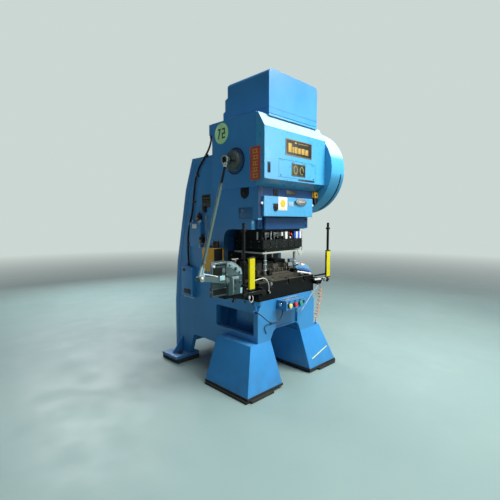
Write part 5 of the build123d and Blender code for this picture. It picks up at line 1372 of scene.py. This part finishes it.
# ---------------------------------------------------------------------------
# right and rear sides
# ---------------------------------------------------------------------------
# painted shade: a black strip in the cover's slit stands in for the dark gap
g = Piece("slit_shade_lip", "die", slot="black_paint")
pts = arc(-350, 2022, 431.4, 186, 246, 30)
inner = arc(-350, 2022, 427, 186, 246, 30)
for k in range(30):
    g.prism([pts[k], pts[k + 1], inner[k + 1], inner[k]], "x", 597, 612, 0)
g.done()
g = Piece("wheel_cover_hub", "blue_l", slot="blue_paint_light")
g.lathe((684, -350, 2036), X, [(0, -2), (96, -2), (96, 2), (90, 4), (0, 4)], 48)
g.ring((683.6, -350, 2022), X, 392, 384, 3, 96)
g.done()
g = Piece("guard_louvres", "blue_d", slot="blue_paint")
for k in range(7):
    g.box(652, 654.5, 60, 170, 2190 + k * 20, 2198 + k * 20, 1)
g.done()
g = Piece("rear_screws", "zinc", slot="zinc")


def rear_at(z):
    """y of the rear cover's outer face at a height."""
    prof = [(100, 680), (621, 680), (1080, 630), (1832, 459), (2142, 336)]
    for (z0, y0), (z1, y1) in zip(prof, prof[1:]):
        if z0 <= z <= z1:
            return y0 + (y1 - y0) * (z - z0) / (z1 - z0)
    return 336


for z in range(150, 2120, 165):
    for x in (-395, 395):
        g.pan((x, rear_at(z), z), Y, 7)
g.done()
g = Piece("rear_louvres", "blue_d", slot="blue_paint")
for k in range(9):
    z = 1250 + k * 34
    y = rear_at(z)
    g.box(-230, 230, y - 2, y + 7, z, z + 14, 3)
g.done()
g = Piece("rear_door", "blue", slot="blue_paint")
g.box(-300, 300, 679.5, 684, 180, 590, 2)
g.done()
g = Piece("rear_door_handle", "blk_pl", slot="black_paint")
g.cyl((260, 684, 380), Y, 20, 6, 2)
g.box(254, 266, 690, 702, 340, 420, 3)
for z in (250, 520):
    g.cyl((-300, 686, z - 25), Z, 7, 50, 1.5)
g.done()
g = Piece("motor_box_lid", "motor", slot="motor_paint")
g.box(134, 246, 104, 216, 2424.5, 2430, 2)
g.cyl((190, 220, 2395), Y, 12, 22, 2)
g.done()
g = Piece("motor_fan_cover", "blk_pl", slot="motor_paint")
for k in range(5):
    g.ring((20, 160, 2275), NX, 92 - k * 17, 86 - k * 17, 2.5, 40)
g.box(17.5, 20.2, 157, 163, 2190, 2360, 0.5)
g.box(17.5, 20.2, 75, 245, 2272, 2278, 0.5)
g.done()
g = Piece("throat_bolts", "dark", slot="dark_steel")
for x in (-330, 330):
    for z in (1000, 1180, 1360):
        g.cap((x, -148, z), NY, 9)
g.done()
# painted shade: a near-black strip over the side plate's front edge, standing in for the shade under the crown
g = Piece("jaw_edge_shade_strip", "blue_e", slot="blue_paint")
g.box(-420.4, -376, -601.2, -599.0, 1532, 1801, 0.4)
g.done()
# painted highlight: a light blue strip on the lower jaw edge, standing in for light catching that edge
g = Piece("jaw_edge_painted_highlight", "blue_l", slot="blue_paint_light")
g.box(-419.6, -362, -520.8, -518.2, 1442, 1514, 0.4)
g.done()
# gib fronts in the shaded slide enamel: painted shade
g = Piece("gib_fronts", "blue_j", slot="blue_paint")
for x0 in (-368, 300):
    g.box(x0, x0 + 68, -544, -540.2, 1438, 1545.5, 1)
    for z in (1462, 1520):
        g.cap((x0 + 34, -544, z), NY, 7)
g.done()

# ---------------------------------------------------------------------------
# stage: floor, backdrop colour, soft light
# ---------------------------------------------------------------------------
BACK = (0.60, 0.68, 0.65)
fl = bpy.data.meshes.new("floor")
bmf = bmesh.new()
bmesh.ops.create_circle(bmf, cap_ends=True, radius=60, segments=64)
bmf.to_mesh(fl)
bmf.free()
floor = bpy.data.objects.new("floor", fl)
SCENE.collection.objects.link(floor)
floor.location = (0, 0, -0.0005)
t = Mat("floor_paint", rough=0.55, spec=0.3)
fcol = t.mix(t.rng(t.noise(0.8, 5), 0.3, 0.7), (0.235, 0.345, 0.335), (0.265, 0.380, 0.365))
t.color(fcol)
t.rough(t.rng(t.noise(3, 4), 0.3, 0.7, 0.42, 0.62))
em = t.nt.nodes.new("ShaderNodeEmission")
em.inputs["Color"].default_value = (*BACK, 1)
em.inputs["Strength"].default_value = 1.0
ln = t.nt.nodes.new("ShaderNodeVectorMath")
ln.operation = "LENGTH"
t.link(t.co, ln.inputs[0])
fade = t.rng(ln.outputs["Value"], 4.5, 16.0)
ms = t.nt.nodes.new("ShaderNodeMixShader")
t.link(fade, ms.inputs[0])
t.link(t.b.outputs[0], ms.inputs[1])
t.link(em.outputs[0], ms.inputs[2])
t.link(ms.outputs[0], t.out.inputs[0])
fl.materials.append(t.m)

world = bpy.data.worlds.new("studio")
SCENE.world = world
world.use_nodes = True
wn = world.node_tree
wn.nodes.clear()
wo = wn.nodes.new("ShaderNodeOutputWorld")
lp = wn.nodes.new("ShaderNodeLightPath")
seen = wn.nodes.new("ShaderNodeBackground")
seen.inputs[0].default_value = (*BACK, 1)
seen.inputs[1].default_value = 1.0
amb = wn.nodes.new("ShaderNodeBackground")
tc = wn.nodes.new("ShaderNodeTexCoord")
dt = wn.nodes.new("ShaderNodeVectorMath")
dt.operation = "DOT_PRODUCT"
dt.inputs[1].default_value = Vector((0.62, -0.45, 0.64)).normalized()
wn.links.new(tc.outputs["Generated"], dt.inputs[0])
cr = wn.nodes.new("ShaderNodeValToRGB")
cr.color_ramp.elements[0].position = 0.0
cr.color_ramp.elements[0].color = (0.044, 0.035, 0.061, 1)
cr.color_ramp.elements[1].position = 1.0
cr.color_ramp.elements[1].color = (0.85, 0.92, 0.95, 1)
e = cr.color_ramp.elements.new(0.55)
e.color = (0.172, 0.150, 0.198, 1)
half = wn.nodes.new("ShaderNodeMapRange")
half.inputs["From Min"].default_value = -1
half.inputs["From Max"].default_value = 1
wn.links.new(dt.outputs["Value"], half.inputs["Value"])
wn.links.new(half.outputs[0], cr.inputs[0])
wn.links.new(cr.outputs[0], amb.inputs[0])
amb.inputs[1].default_value = 0.50
mx = wn.nodes.new("ShaderNodeMixShader")
wn.links.new(lp.outputs["Is Camera Ray"], mx.inputs[0])
wn.links.new(amb.outputs[0], mx.inputs[1])
wn.links.new(seen.outputs[0], mx.inputs[2])
wn.links.new(mx.outputs[0], wo.inputs[0])


def area(name, loc, target, size, energy, color=(1, 1, 1)):
    ld = bpy.data.lights.new(name, "AREA")
    ld.shape = "RECTANGLE"
    ld.size, ld.size_y = size
    ld.energy = energy
    ld.color = color
    ob = bpy.data.objects.new(name, ld)
    SCENE.collection.objects.link(ob)
    ob.location = loc
    ob.rotation_euler = (Vector(target) - Vector(loc)).to_track_quat("-Z", "Y").to_euler()
    return ob


area("key", (0.95, -3.1, 4.9), (0.0, -0.5, 1.3), (3.0, 1.6), 330, (1.0, 0.985, 0.95))
area("front", (2.4, -4.6, 2.6), (0.0, -0.5, 1.2), (2.6, 2.0), 62, (1.0, 0.99, 0.96))
area("top", (0.4, -0.6, 5.6), (0.0, -0.2, 1.5), (3.0, 3.0), 80, (0.96, 1.0, 1.0))
area("side", (5.2, 0.4, 3.0), (0.2, -0.2, 1.5), (3.0, 3.0), 42, (0.95, 1.0, 1.0))
area("rear", (0.6, 5.6, 3.4), (0.0, 0.0, 1.4), (3.0, 3.0), 240, (0.96, 0.98, 1.0))
area("left_fill", (-5.4, 0.2, 2.8), (-0.3, -0.2, 1.4), (3.0, 3.0), 6, (0.90, 0.80, 1.0))
